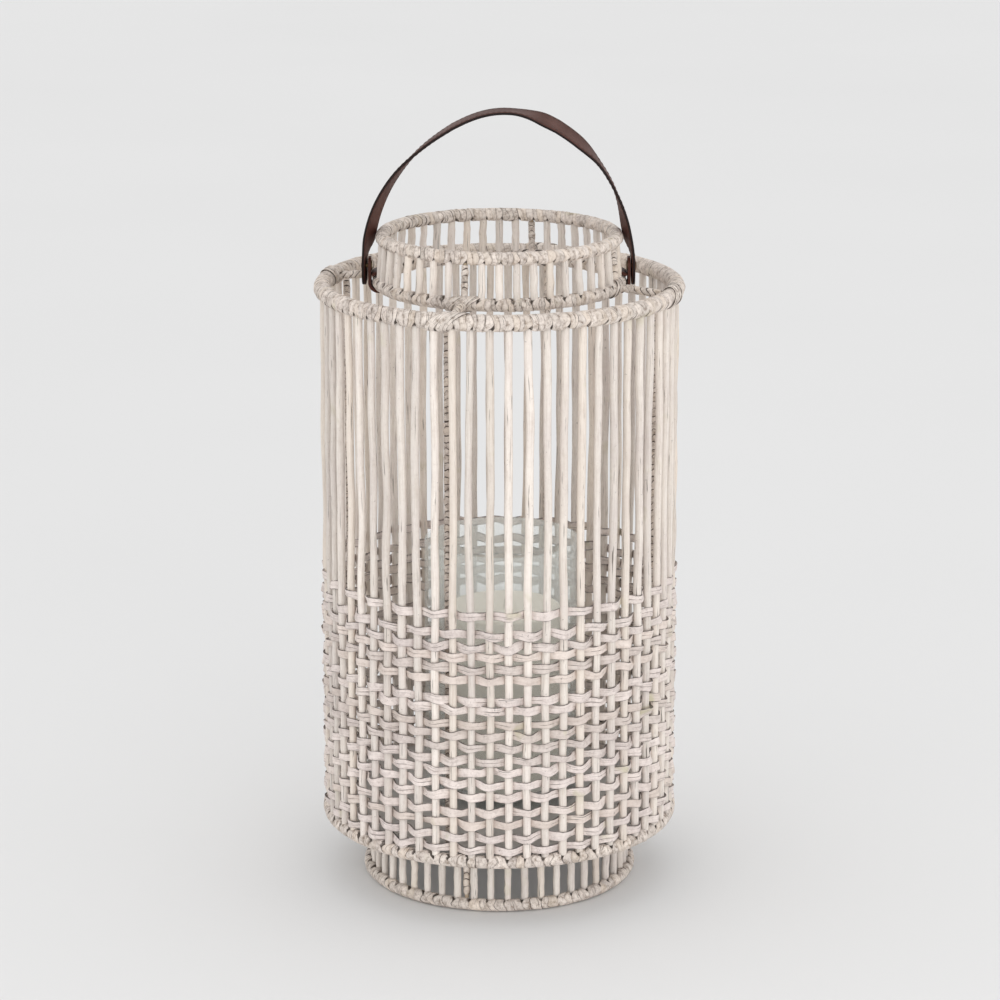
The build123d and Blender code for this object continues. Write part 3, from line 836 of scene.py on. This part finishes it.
def finish_of(kind):
    """The material of a finish, made once."""
    found = bpy.data.materials.get(kind)
    if found:
        return found
    c = bpy.context.scene.lantern_colours
    pale, shade, stain = tuple(c.cane_pale), tuple(c.cane_shade), tuple(c.stain)
    rod, rod_shade = tuple(c.willow_pale), tuple(c.willow_shade)
    bound, bound_shade = tuple(c.binding_pale), tuple(c.binding_shade)
    leather, edge = tuple(c.leather), tuple(c.leather_edge_shade)
    makers = {
        "whitewashed_willow": lambda n: washed_cane(n, rod, rod_shade, stain, 0.9, 0.25, 0.35, 0.2),
        "woven_cane": lambda n: washed_cane(n, pale, shade, stain, 0.9, 0.55, 0.5, 0.65),
        "wound_cane": lambda n: washed_cane(n, bound, bound_shade, stain, 1.0, 0.3, 0.5, 1.5),
        "bare_willow": lambda n: plain_fibre(n, (0.55, 0.44, 0.32), (0.36, 0.27, 0.18)),
        "washed_board": lambda n: washed_board(n, tuple(c.board)),
        "strap_leather": lambda n: strap_leather(n, leather, edge),
        "strap_thread": lambda n: plain_fibre(n, (0.055, 0.032, 0.024), (0.025, 0.014, 0.011)),
        "aged_brass": lambda n: aged_metal(n, (0.20, 0.135, 0.07), (0.05, 0.033, 0.02), 300.0,
                                           0.35),
        "wire_nail": lambda n: aged_metal(n, (0.55, 0.55, 0.56), (0.30, 0.29, 0.28), 500.0, 0.3),
        "clear_glass": clear_glass,
        "candle_wax": lambda n: candle_wax(n, tuple(c.wax)),
        "wick_cotton": wick_cotton,
        "pale_floor": lambda n: pale_floor(n, tuple(c.floor)),
    }
    return makers[kind](kind)


# ---- Operators, one for each group of pieces -----------------------------------------------

class LANTERN_OT_stakes(bpy.types.Operator):
    """Willow stakes of the basket, the collar and the foot"""

    bl_idname = "lantern.stakes"
    bl_label = "Stakes"

    def execute(self, context):
        cfg = context.scene.lantern_willow
        rng = np.random.default_rng(11)
        wood = finish_of("whitewashed_willow")
        low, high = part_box("body_stakes")
        radius = cfg.stake / 2
        circle = stake_circle(cfg)
        turns = (np.arange(cfg.stakes) + 0.5) / cfg.stakes * 2 * np.pi
        rows = 60
        t = np.linspace(0, 1, rows)
        bow = smooth_step((t - 0.42) / 0.2) * smooth_step((1.0 - t) / 0.25)
        aside = rng.normal(0, cfg.bow, (cfg.stakes, 1)) * bow
        piece = rods("basket_stakes", on_circle(circle, turns, low.z),
                     on_circle(circle, turns, high.z), radius, rows, 14, cfg, rng, cfg.wander,
                     aside)
        finish_piece(piece, BODY, "willow_stake", wood, "body_stakes")

        low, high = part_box("foot_stakes")
        radius = cfg.small_rod / 2
        circle = (high.y - radius) / math.cos(math.pi / cfg.foot_places)
        turns = (np.arange(cfg.foot_places) + 0.5) / cfg.foot_places * 2 * np.pi
        piece = rods("foot_rods", on_circle(circle, turns, low.z),
                     on_circle(circle, turns, high.z), radius, 12, 14, cfg, rng,
                     cfg.wander * 0.6)
        finish_piece(piece, BODY, "willow_stake", wood, "foot_stakes")

        pitch = 2 * np.pi / cfg.collar_places
        places = np.arange(cfg.collar_places)
        quarter = cfg.collar_places // 4
        free = (places % (2 * quarter) != 0) & ((places + 2) % quarter != 0)
        turns = places[free] * pitch + np.pi / 2
        lower, tube, lower_z = ring_of("collar_lower_hoop")
        upper, _, upper_z = ring_of("collar_upper_hoop")
        ends = on_circle(lower, turns, lower_z), on_circle(upper, turns, upper_z)
        along = normalised(ends[1] - ends[0])
        piece = rods("collar_rods", ends[0] + along * tube * 1.1, ends[1] - along * tube * 1.1,
                     cfg.small_rod / 2, 8, 14, cfg, rng, cfg.wander * 0.5)
        finish_piece(piece, BODY, "willow_stake", wood, "collar_stakes")
        return {"FINISHED"}


def stake_circle(cfg):
    """Circle on which the basket's stakes stand: the first is half a place from the front."""
    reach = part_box("body_stakes")[1].y - cfg.stake / 2
    return reach / math.cos(math.pi / cfg.stakes)


def belt_wave(place, throw, pitch):
    """Distance of a strip from the stakes' line, as a tight belt over and under round stakes.

    Places are in stakes. Near a stake the belt follows a circle, sqrt(throw^2 - x^2). Between
    two stakes it is the straight line that touches both circles, so its slope is the tangent of
    the angle whose sine is 2 throw / pitch.
    """
    stake = np.round(place)
    x = np.abs(place - stake) * pitch
    lean = math.asin(min(0.95, 2 * throw / pitch))
    line = (pitch / 2 - x) * math.tan(lean)
    circle = np.sqrt(np.clip(throw ** 2 - x ** 2, 0, None))
    height = np.where(x < throw * math.sin(lean), circle, line)
    return height * np.where(stake % 2 == 0, 1.0, -1.0)


class LANTERN_OT_weave(bpy.types.Operator):
    """Rows of flat cane strip, woven in and out of the stakes"""

    bl_idname = "lantern.weave"
    bl_label = "Weave"

    def execute(self, context):
        willow, cane = context.scene.lantern_willow, context.scene.lantern_cane
        rng = np.random.default_rng(23)
        material = finish_of("woven_cane")
        circle, stake = stake_circle(willow), willow.stake / 2
        samples = willow.stakes * 12
        t = np.arange(samples) / samples
        turn = t * 2 * np.pi
        throw = stake + cane.strip_thickness / 2 - 0.05 * MM
        for node in WEAVE_NODES:
            low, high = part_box(node)
            crest = 1.0 if int(node[-2:]) % 2 else -1.0
            wave = belt_wave(turn * willow.stakes / (2 * np.pi) - 0.5, throw,
                             2 * np.pi * circle / willow.stakes)
            strength = 1 + waves(t, 1, 7, 30, 0.05, rng)[0]
            radius = circle + crest * wave * np.clip(strength, 0.93, 1.05)
            height = (low.z + high.z) / 2 + waves(t, 1, 3, 50, cane.strip_wander, rng)[0]
            width = cane.strip_width * (rng.uniform(0.92, 1.05) + waves(t, 1, 2, 44, 0.085,
                                                                        rng)[0])
            roll = waves(t, 1, 5, 60, 0.2, rng)[0]
            path = on_circle(radius, turn, height)[None]
            normal = on_circle(np.cos(roll), turn, np.sin(roll))[None]
            split = waves(t, 1, 2, 24, 1.0, rng)[0] + rng.uniform(-0.4, 0.8)
            groove = smooth_step(split)[None] * cane.strip_thickness * 0.5
            piece = band(node.replace("weave", "cane"), path, normal, width[None],
                         cane.strip_thickness, STRIP_PROFILE, rng, True, groove)
            finish_piece(piece, BODY, "cane_weave", material, node)
        return {"FINISHED"}


class LANTERN_OT_bindings(bpy.types.Operator):
    """Cane wound round the five hoops"""

    bl_idname = "lantern.bindings"
    bl_label = "Hoop bindings"

    def execute(self, context):
        willow, cane = context.scene.lantern_willow, context.scene.lantern_cane
        rng = np.random.default_rng(37)
        material = finish_of("wound_cane")
        up, down = math.pi / 2, -math.pi / 2
        half_stake = math.pi / willow.stakes
        half_foot = math.pi / willow.foot_places
        thick, thin = willow.stake / 2, willow.small_rod / 2
        jobs = (
            ("rim_winding", "rim_binding", willow.stakes, half_stake, thick,
             math.radians(-88.0), 34, 3),
            ("base_winding", "base_binding", willow.stakes, half_stake, thick, up, 32, 2),
            ("collar_lower_winding", "collar_lower_binding", willow.collar_places, up, thin,
             up, 30, 3),
            ("collar_upper_winding", "collar_upper_binding", willow.collar_places, up, thin,
             down, 30, 3),
            ("foot_winding", "foot_binding", willow.foot_places, half_foot, thin,
             math.radians(115.0), 30, 2),
        )
        for name, node, cells, first, stake, side, around, turns in jobs:
            piece = wound_hoop(name, node, cells, first, stake, side, around, cane, rng, turns)
            finish_piece(piece, BODY, "cane_binding", material, node)
        return {"FINISHED"}


class LANTERN_OT_posts(bpy.types.Operator):
    """Bound posts and ties, and the lashings where they meet the hoops"""

    bl_idname = "lantern.posts"
    bl_label = "Posts, ties and lashings"

    def execute(self, context):
        willow, cane = context.scene.lantern_willow, context.scene.lantern_cane
        rng = np.random.default_rng(41)
        material = finish_of("wound_cane")
        collar_turn = QUARTERS - 2 * 2 * np.pi / willow.collar_places
        lower = ring_of("collar_lower_binding")
        upper = ring_of("collar_upper_binding")
        rim = ring_of("rim_binding")
        jobs = (
            ("post_winding", "frame_post_bindings", POST_RADIUS, 16,
             upright_posts("frame_post_bindings", willow.post_turn)),
            ("foot_post_winding", "foot_post_bindings", POST_RADIUS, 16,
             upright_posts("foot_post_bindings", willow.foot_post_turn)),
            ("collar_post_winding", "collar_post_bindings", POST_RADIUS, 16,
             between_hoops(lower, upper, collar_turn)),
            ("tie_winding", "cross_tie_bindings", TIE_RADIUS, 18,
             between_hoops(lower, rim, collar_turn)),
        )
        for name, node, radius, around, (low, high) in jobs:
            piece = wound_rods(name, low, high, radius, cane.post_pitch, around, cane, rng)
            finish_piece(piece, BODY, "cane_binding", material, node)

        for name, hoop, spread in (("rim_lashing", rim, 8.0 * MM),
                                   ("collar_lashing", lower, 6.5 * MM)):
            piece = lashing(name, *hoop, collar_turn, spread, rng)
            finish_piece(piece, BODY, "cane_binding", material)
        return {"FINISHED"}


def upright_posts(node, turn):
    """End points of four upright posts, from their box and the first one's turn."""
    low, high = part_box(node)
    circle = (high.x - POST_RADIUS) / max(abs(math.sin(turn)), abs(math.cos(turn)))
    return on_circle(circle, turn + QUARTERS, low.z), on_circle(circle, turn + QUARTERS, high.z)


def between_hoops(first, second, turns):
    """End points of rods from one hoop's skin to the next one's, at the turns given."""
    start = on_circle(first[0], turns, first[2])
    end = on_circle(second[0], turns, second[2])
    unit = normalised(end - start)
    return start + unit * first[1] * SKIN_SHARE, end - unit * second[1] * SKIN_SHARE


def lashing(name, ring, tube, height, turns, spread, rng):
    """Cane lashed slantwise over a hoop at each turn.

    Each strip circles the tube a little above the winding, and moves along the hoop with the
    cosine of its angle round the tube. The strips lie side by side, some over their neighbours.
    """
    v = round_turn(48)
    turn = np.repeat(turns, LASHING_STRIPS)[:, None]
    place = np.tile(np.arange(LASHING_STRIPS) - (LASHING_STRIPS - 1) / 2, len(turns))[:, None]
    lean = rng.uniform(0.75, 1.15, turn.shape)
    layer = rng.uniform(0.1, 0.75, turn.shape) * MM
    drift = place * LASHING_STEP + rng.uniform(-0.7, 0.7, turn.shape) * MM - (
        lean * spread * np.cos(v[None] + LASHING_PHASE))
    reach = tube - LASHING_THICKNESS / 2 + layer
    where = turn + drift / ring
    path = on_circle(ring + reach * np.cos(v[None]), where, height + reach * np.sin(v[None]))
    normal = on_circle(np.cos(v[None]), where, np.sin(v[None]))
    width = LASHING_WIDTH * (1 + waves(v / (2 * np.pi), len(turn), 1, 4, 0.12, rng))
    return band(name, path, normal, width, LASHING_THICKNESS, STRIP_PROFILE, rng, True)


class LANTERN_OT_strap(bpy.types.Operator):
    """Leather strap handle with its stitching, and the rivets it turns on"""

    bl_idname = "lantern.strap"
    bl_label = "Strap and rivets"

    def execute(self, context):
        cfg = context.scene.lantern_strap
        rng = np.random.default_rng(53)
        low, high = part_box("handle_strap")
        pivot = frame["joints"][0]["pos_m"][2]
        path = strap_path(low, high, pivot, cfg)
        normal, side = strap_frame(path, pivot, cfg)
        reach = reach_along(path)
        from_end = np.minimum(reach, reach[-1] - reach)
        past = np.clip(STRAP_CORNER - from_end, 0, None)
        cut = STRAP_CORNER - np.sqrt(np.clip(STRAP_CORNER ** 2 - past ** 2, 0, None))
        half = (high.y - low.y) / 2 - cut
        profile = strap_profile()
        across = half[:, None] * profile[:, 0]
        crown = STRAP_THICKNESS / 2 * profile[:, 1]
        points = path[:, None] + side[:, None] * across[..., None] + (
            normal[:, None] * crown[None, :, None])
        rows, around = points.shape[:2]
        grain = grain_map(reach[None, :, None] / MM, np.linspace(0, 56, around + 1))
        edge = (np.abs(np.append(profile[:, 0], profile[0, 0])) > 0.965).astype(float)
        on_edge = edge[:-1] * edge[1:]
        tint = np.zeros((1, rows - 1, around, 2))
        tint[..., 0] = on_edge[None, None]
        piece = mesh_piece("strap", points[None], grain, tint, sharp=math.radians(60.0))
        finish_piece(piece, "handle", "dark_leather", finish_of("strap_leather"), "handle_strap")

        rivets = strap_rivets(pivot, high.x, cfg)
        for piece, node in zip(rivets, ("strap_rivet_left", "strap_rivet_right")):
            finish_piece(piece, BODY, "rivet_brass", finish_of("aged_brass"), node)
        stitches = strap_stitches(path, normal, side, reach, half, cfg)
        finish_piece(stitches, "handle", "dark_leather", finish_of("strap_thread"))
        return {"FINISHED"}


def strap_profile():
    """Half widths and half thicknesses round a strap: flat faces with rounded edges."""
    face = np.array([-0.955, -0.72, -0.36, 0.0, 0.36, 0.72, 0.955])
    crown = 1 - 0.10 * face ** 2
    outer = np.stack([face, crown], 1)
    inner = np.stack([face[::-1], -crown[::-1]], 1)
    right = np.array([(0.985, 0.72), (1.0, 0.0), (0.985, -0.72)])
    left = np.array([(-0.985, -0.72), (-1.0, 0.0), (-0.985, 0.72)])
    return np.concatenate([outer, right, inner, left])


def strap_path(low, high, pivot, cfg):
    """Middle line of the strap, from its left foot over the top to its right foot.

    Each leg is straight to a little above the rivet. Then a wide arc bends most of the way, and
    a tighter arc crowns the arch, as the frame's strap does. The left shoulder sags inward
    by a bell curve of the distance from its middle. Near the rivets the line stands off, which
    leaves room for the twist beside the loops, and over the right one it tucks in.
    """
    skin = STRAP_THICKNESS / 2 + 0.05 * MM
    half_span, top, leg_top = high.x - skin, high.z - skin, pivot + STRAP_LEG
    bend = math.radians(STRAP_BEND)
    crown = (2 * half_span * math.sin(bend) - (top - leg_top)) / (2 * math.sin(bend) - 1)
    side = 2 * half_span - crown
    angle = np.radians(np.linspace(0, STRAP_BEND, 40))
    wide = np.stack([half_span - side + side * np.cos(angle), leg_top + side * np.sin(angle)], 1)
    middle_z = leg_top + (side - crown) * math.sin(bend)
    angle = np.radians(np.linspace(STRAP_BEND, 90, 20))[1:]
    tight = np.stack([crown * np.cos(angle), middle_z + crown * np.sin(angle)], 1)
    leg = np.stack([np.full(15, half_span), np.linspace(low.z, leg_top, 16)[:-1]], 1)
    right = np.concatenate([leg, wide, tight])
    left = right[:-1] * np.array([-1.0, 1.0])
    both = np.concatenate([left, right[::-1]])
    x = both[:, 0]
    rise = (both[:, 1] - pivot) / MM
    sag = cfg.sag * np.exp(-((x + 0.42 * half_span) / (0.47 * half_span)) ** 2)
    left = np.interp(rise, (10.5, 17, 35, 60), (
        cfg.left_stand + sag[0], 0.6 * MM, 0.3 * MM, 0.0))
    right = np.interp(rise, (10.5, 17, 24, 35, 60, 90), (
        cfg.right_stand, -cfg.right_tuck * 0.7, -cfg.right_tuck, -cfg.right_tuck,
        -cfg.right_tuck / 2, 0.0))
    x = eased(x + sag + np.where(x < 0, -left, right), 4)
    return np.stack([x, np.zeros(len(x)), both[:, 1]], 1)


def eased(values, times):
    """Values averaged with their neighbours a few times, the two ends kept."""
    for _ in range(times):
        values[1:-1] = (values[:-2] + 2 * values[1:-1] + values[2:]) / 4
    return values


def strap_frame(path, pivot, cfg):
    """Outward normals and width directions along the strap, twisted about its own line.

    The twist is read off between a few places, given as heights over the rivets on the left and
    on the right, and eased by averaging each point with its neighbours.
    """
    tangent = frames_along(path)
    side = np.tile([0.0, 1.0, 0.0], (len(path), 1))
    normal = np.cross(tangent, side)
    rise = (path[:, 2] - pivot) / MM
    left = np.interp(rise, (11.5, 18, 48, 62, 76, 92, 110), (
        cfg.twist_left_end, cfg.twist_left_leg, cfg.twist_left_leg * 0.9,
        cfg.twist_left_leg * 0.75, cfg.twist_left_leg * 0.6, cfg.twist_left_leg * 0.2, 0.0))
    right = np.interp(rise, (11.5, 18, 34, 60, 84, 98, 118, 124), (
        cfg.twist_right_end, cfg.twist_right_leg, cfg.twist_right_leg,
        cfg.twist_right_leg * 0.15, 0.0, cfg.twist_right_shoulder * 0.85,
        cfg.twist_right_shoulder, 0.0))
    twist = eased(np.where(path[:, 0] < 0, left, right), 3)
    cos, sin = np.cos(twist)[:, None], np.sin(twist)[:, None]
    return normal * cos + side * sin, side * cos - normal * sin


def strap_rivets(pivot, outer, cfg):
    """Two rivets, each a profile of (distance out, radius) carried round the pivot's line.

    A flat head, a shank and a domed head, whose rise is that of an ellipse, follow each other.
    """
    pieces = []
    for name, side, stand in (("rivet_left", -1.0, cfg.left_stand),
                              ("rivet_right", 1.0, cfg.right_stand)):
        low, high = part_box("strap_" + name)
        inner = min(abs(low.x), abs(high.x))
        head = high.z - pivot
        shank = head * 0.42
        face = outer + stand + 0.1 * MM
        quarter = np.linspace(0, np.pi / 2, 7)
        dome = np.stack([face + RIVET_DOME * np.sin(quarter), head * np.cos(quarter)], 1)
        dome[-1, 1] = 0.1 * MM
        profile = np.concatenate([
            [(inner, 0.1 * MM), (inner, head * 0.9), (inner + 0.3 * MM, head),
             (inner + 1.0 * MM, head), (inner + 1.1 * MM, shank), (face - 0.6 * MM, shank),
             (face - 0.6 * MM, head)], dome])
        v = round_turn(32)
        points = np.stack(np.broadcast_arrays(
            side * profile[:, :1], profile[:, 1:] * np.cos(v), pivot + profile[:, 1:] * np.sin(v)),
            -1)
        grain = np.zeros((1, len(profile), 33, 2))
        tint = np.zeros((1, len(profile) - 1, 32, 2))
        pieces.append(mesh_piece(name, points[None], grain, tint, sharp=math.radians(40.0)))
    return pieces


def strap_stitches(path, normal, side, reach, half, cfg):
    """Stitches along both edges, on both faces: short closed beads that sink in at their ends."""
    clear, bead, around = 15 * MM, 7, 6
    count = int((reach[-1] - 2 * clear) / cfg.stitch_pitch)
    middle = clear + (np.arange(count) + 0.5) * cfg.stitch_pitch
    u = np.linspace(-1, 1, bead)
    v = round_turn(around)
    place = middle[:, None] + u[None] * cfg.stitch_pitch * STITCH_SHARE

    def along(values):
        """The values at the places along the strap."""
        return np.stack([np.interp(place, reach, values[:, k]) for k in range(3)], axis=-1)

    centre, up, across = along(path), along(normal), along(side)
    inset = np.interp(place, reach, half)[..., None] - cfg.stitch_inset
    thick = THREAD_RADIUS * np.sqrt(1 - (0.96 * u) ** 2)
    rise = STRAP_THICKNESS / 2 * 0.93 - THREAD_SINK
    shells = []
    for face, edge in ((-1.0, -1.0), (-1.0, 1.0), (1.0, -1.0), (1.0, 1.0)):
        line = centre + across * inset * edge + up * face * rise
        shells.append(ring_points(line[:, :, None], across[:, :, None], up[:, :, None],
                                  thick[None, :, None], v))
    points = np.concatenate(shells)
    grain = np.zeros((len(points), bead, around + 1, 2))
    tint = np.zeros((len(points), bead - 1, around, 2))
    return mesh_piece("strap_stitches", points, grain, tint)


class LANTERN_OT_fittings(bpy.types.Operator):
    """Finishes of the loops, nails, board and the rods inside the bindings"""

    bl_idname = "lantern.fittings"
    bl_label = "Loops, nails, board and rods"

    def execute(self, context):
        finishes = {
            "strap_leather": ("strap_loop_left", "strap_loop_right"),
            "wire_nail": ("board_nails",),
            "washed_board": ("base_board",),
            "bare_willow": ("foot_hoop", "base_hoop", "rim_hoop", "collar_lower_hoop",
                            "collar_upper_hoop", "frame_posts", "foot_posts", "collar_posts",
                            "cross_ties"),
        }
        for kind, nodes in finishes.items():
            for node in nodes:
                mesh = frame["nodes"][node].data
                mesh.materials.clear()
                mesh.materials.append(finish_of(kind))
        return {"FINISHED"}


class LANTERN_OT_glass(bpy.types.Operator):
    """Glass chimney with a thick base and a fire-polished lip"""

    bl_idname = "lantern.glass"
    bl_label = "Glass chimney"

    def execute(self, context):
        rng = np.random.default_rng(61)
        low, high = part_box("glass_cylinder")
        middle = ((low.x + high.x) / 2, (low.y + high.y) / 2)
        outer = (high.y - low.y) / 2
        inner = outer - GLASS_WALL
        lip = GLASS_WALL / 2
        profile = np.concatenate([
            [(8 * MM, low.z)],
            arc((outer - 2 * MM, low.z + 2 * MM), 2 * MM, -90, 0, 7),
            [(outer, low.z + 60 * MM), (outer, high.z - 40 * MM)],
            arc((outer - lip, high.z - lip), lip, 0, 180, 13),
            [(inner, high.z - 40 * MM), (inner, low.z + 60 * MM)],
            arc((inner - 3 * MM, low.z + GLASS_BASE + 3 * MM), 3 * MM, 0, -90, 7),
            [(8 * MM, low.z + GLASS_BASE)],
        ])
        piece = lathe("glass_chimney", profile, middle, 160, rng)
        finish_piece(piece, "glass", "clear_glass", finish_of("clear_glass"), "glass_cylinder")
        return {"FINISHED"}


class LANTERN_OT_candle(bpy.types.Operator):
    """Pillar candle with a soft rim and shallow dish, and its wick"""

    bl_idname = "lantern.candle"
    bl_label = "Candle"

    def execute(self, context):
        rng = np.random.default_rng(67)
        low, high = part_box("candle")
        middle = ((low.x + high.x) / 2, (low.y + high.y) / 2)
        radius = (high.y - low.y) / 2 - 0.1 * MM
        brim = radius - CANDLE_EDGE
        r = np.linspace(brim - 4 * MM, 1.2 * MM, 16)
        profile = np.concatenate([
            [(10 * MM, low.z)],
            arc((radius - 2 * MM, low.z + 2 * MM), 2 * MM, -90, 0, 6),
            [(radius, low.z + h * (high.z - low.z)) for h in (0.25, 0.5, 0.75)],
            arc((brim, high.z - CANDLE_EDGE - 0.2 * MM), CANDLE_EDGE, 0, 90, 9),
            np.stack([r, high.z - 0.4 * MM - CANDLE_DISH * smooth_step(1 - r / brim)], 1),
        ])
        piece = lathe("pillar_candle", profile, middle, 128, rng, 0.0012)
        finish_piece(piece, "candle", "candle_wax", finish_of("candle_wax"), "candle")

        low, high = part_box("candle_wick")
        t = np.linspace(0, 1, 22)
        lean = 0.35 * (high.x - low.x) * smooth_step((t - 0.45) / 0.55)
        path = np.stack([middle[0] + lean - 0.0002, np.full(22, middle[1]),
                         low.z + t * (high.z - low.z)], 1)
        v = round_turn(10)
        twist = v[None] + t[:, None] * 9.0
        radius = (high.x - low.x) / 2 * (0.72 + 0.1 * np.cos(3 * twist)) * np.sqrt(
            np.clip(1 - ((t - 0.5) / 0.52) ** 16, 0.05, 1))[:, None]
        points = ring_points(path[:, None], np.array([1.0, 0.0, 0.0]), np.array([0.0, 1.0, 0.0]),
                             radius, v)
        grain = grain_map(t[:, None] * 17, np.arange(11) * 0.7)
        tint = np.zeros((1, 21, 10, 2))
        tint[..., 0] = smooth_step((t[:-1, None] - 0.62) / 0.25)
        piece = mesh_piece("wick", points[None], grain[None], tint)
        finish_piece(piece, "candle", "wick_cotton", finish_of("wick_cotton"), "candle_wick")
        return {"FINISHED"}


class LANTERN_OT_stage(bpy.types.Operator):
    """Floor, lights and camera"""

    bl_idname = "lantern.stage"
    bl_label = "Stage"

    def execute(self, context):
        cfg = context.scene.lantern_stage
        scene = context.scene
        mesh = bpy.data.meshes.new("floor")
        corners = [(x * FLOOR_REACH, y * FLOOR_REACH, 0)
                   for x, y in ((-1, -1), (1, -1), (1, 1), (-1, 1))]
        mesh.from_pydata(corners, [], [(0, 1, 2, 3)])
        mesh.materials.append(finish_of("pale_floor"))
        floor = bpy.data.objects.new("floor", mesh)
        scene.collection.objects.link(floor)

        world = bpy.data.worlds.new("soft_surroundings")
        world.use_nodes = True
        shade = world.node_tree.nodes["Background"]
        shade.inputs["Color"].default_value = (1.0, 1.0, 1.0, 1.0)
        shade.inputs["Strength"].default_value = cfg.sky
        scene.world = world
        aim = np.array([0.0, 0.0, LIGHT_AIM])
        for name, place, size, power in (
                ("key", (0.9, -2.5, 0.5), 1.4, cfg.key_power),
                ("fill", (-1.9, -2.2, 0.4), 1.6, cfg.fill_power)):
            light = bpy.data.lights.new(name, "AREA")
            light.energy, light.size = power, size
            lamp = bpy.data.objects.new(name, light)
            lamp.location = place
            turn_to(lamp, aim - np.array(place))
            scene.collection.objects.link(lamp)

        camera = bpy.data.cameras.new("camera")
        camera.lens = cfg.lens
        camera.sensor_width = 36.0
        camera.shift_x = 0.0007
        eye = bpy.data.objects.new("camera", camera)
        back = np.array([0.0, -math.cos(cfg.camera_rise), math.sin(cfg.camera_rise)])
        eye.location = np.array([0.0, 0.0, cfg.aim_height]) + back * cfg.camera_distance
        turn_to(eye, -back)
        scene.collection.objects.link(eye)
        scene.camera = eye
        scene.view_settings.view_transform = "Standard"
        return {"FINISHED"}


def turn_to(thing, direction):
    """Turn a lamp or camera to look along a direction."""
    thing.rotation_mode = "QUATERNION"
    thing.rotation_quaternion = Vector(direction).to_track_quat("-Z", "Y")


class LANTERN_PT_panel(bpy.types.Panel):
    """Sidebar panel that lists the lantern's operators and settings"""

    bl_label = "Willow Lantern"
    bl_idname = "LANTERN_PT_panel"
    bl_space_type = "VIEW_3D"
    bl_region_type = "UI"
    bl_category = "Lantern"

    def draw(self, context):
        for operator in OPERATORS:
            self.layout.operator(operator.bl_idname)
        for holder in SETTINGS:
            settings = getattr(context.scene, holder)
            for key in settings.__annotations__:
                self.layout.prop(settings, key)


OPERATORS = (LANTERN_OT_stage, LANTERN_OT_stakes, LANTERN_OT_weave, LANTERN_OT_bindings,
             LANTERN_OT_posts, LANTERN_OT_strap, LANTERN_OT_fittings, LANTERN_OT_glass,
             LANTERN_OT_candle)
SETTINGS = {"lantern_willow": WillowSettings, "lantern_cane": CaneSettings,
            "lantern_strap": StrapSettings, "lantern_colours": ColourSettings,
            "lantern_stage": StageSettings}


def register():
    """Add the classes and hang the settings on the scene."""
    for cls in (*SETTINGS.values(), *OPERATORS, LANTERN_PT_panel):
        bpy.utils.register_class(cls)
    for holder, cls in SETTINGS.items():
        setattr(bpy.types.Scene, holder, PointerProperty(type=cls))


def unregister():
    """Take the settings and the classes away again."""
    for holder in SETTINGS:
        delattr(bpy.types.Scene, holder)
    for cls in (LANTERN_PT_panel, *reversed(OPERATORS), *SETTINGS.values()):
        bpy.utils.unregister_class(cls)


def main():
    """Build everything."""
    register()
    for operator in OPERATORS:
        family, action = operator.bl_idname.split(".")
        getattr(getattr(bpy.ops, family), action)()


if __name__ == "__main__":
    main()
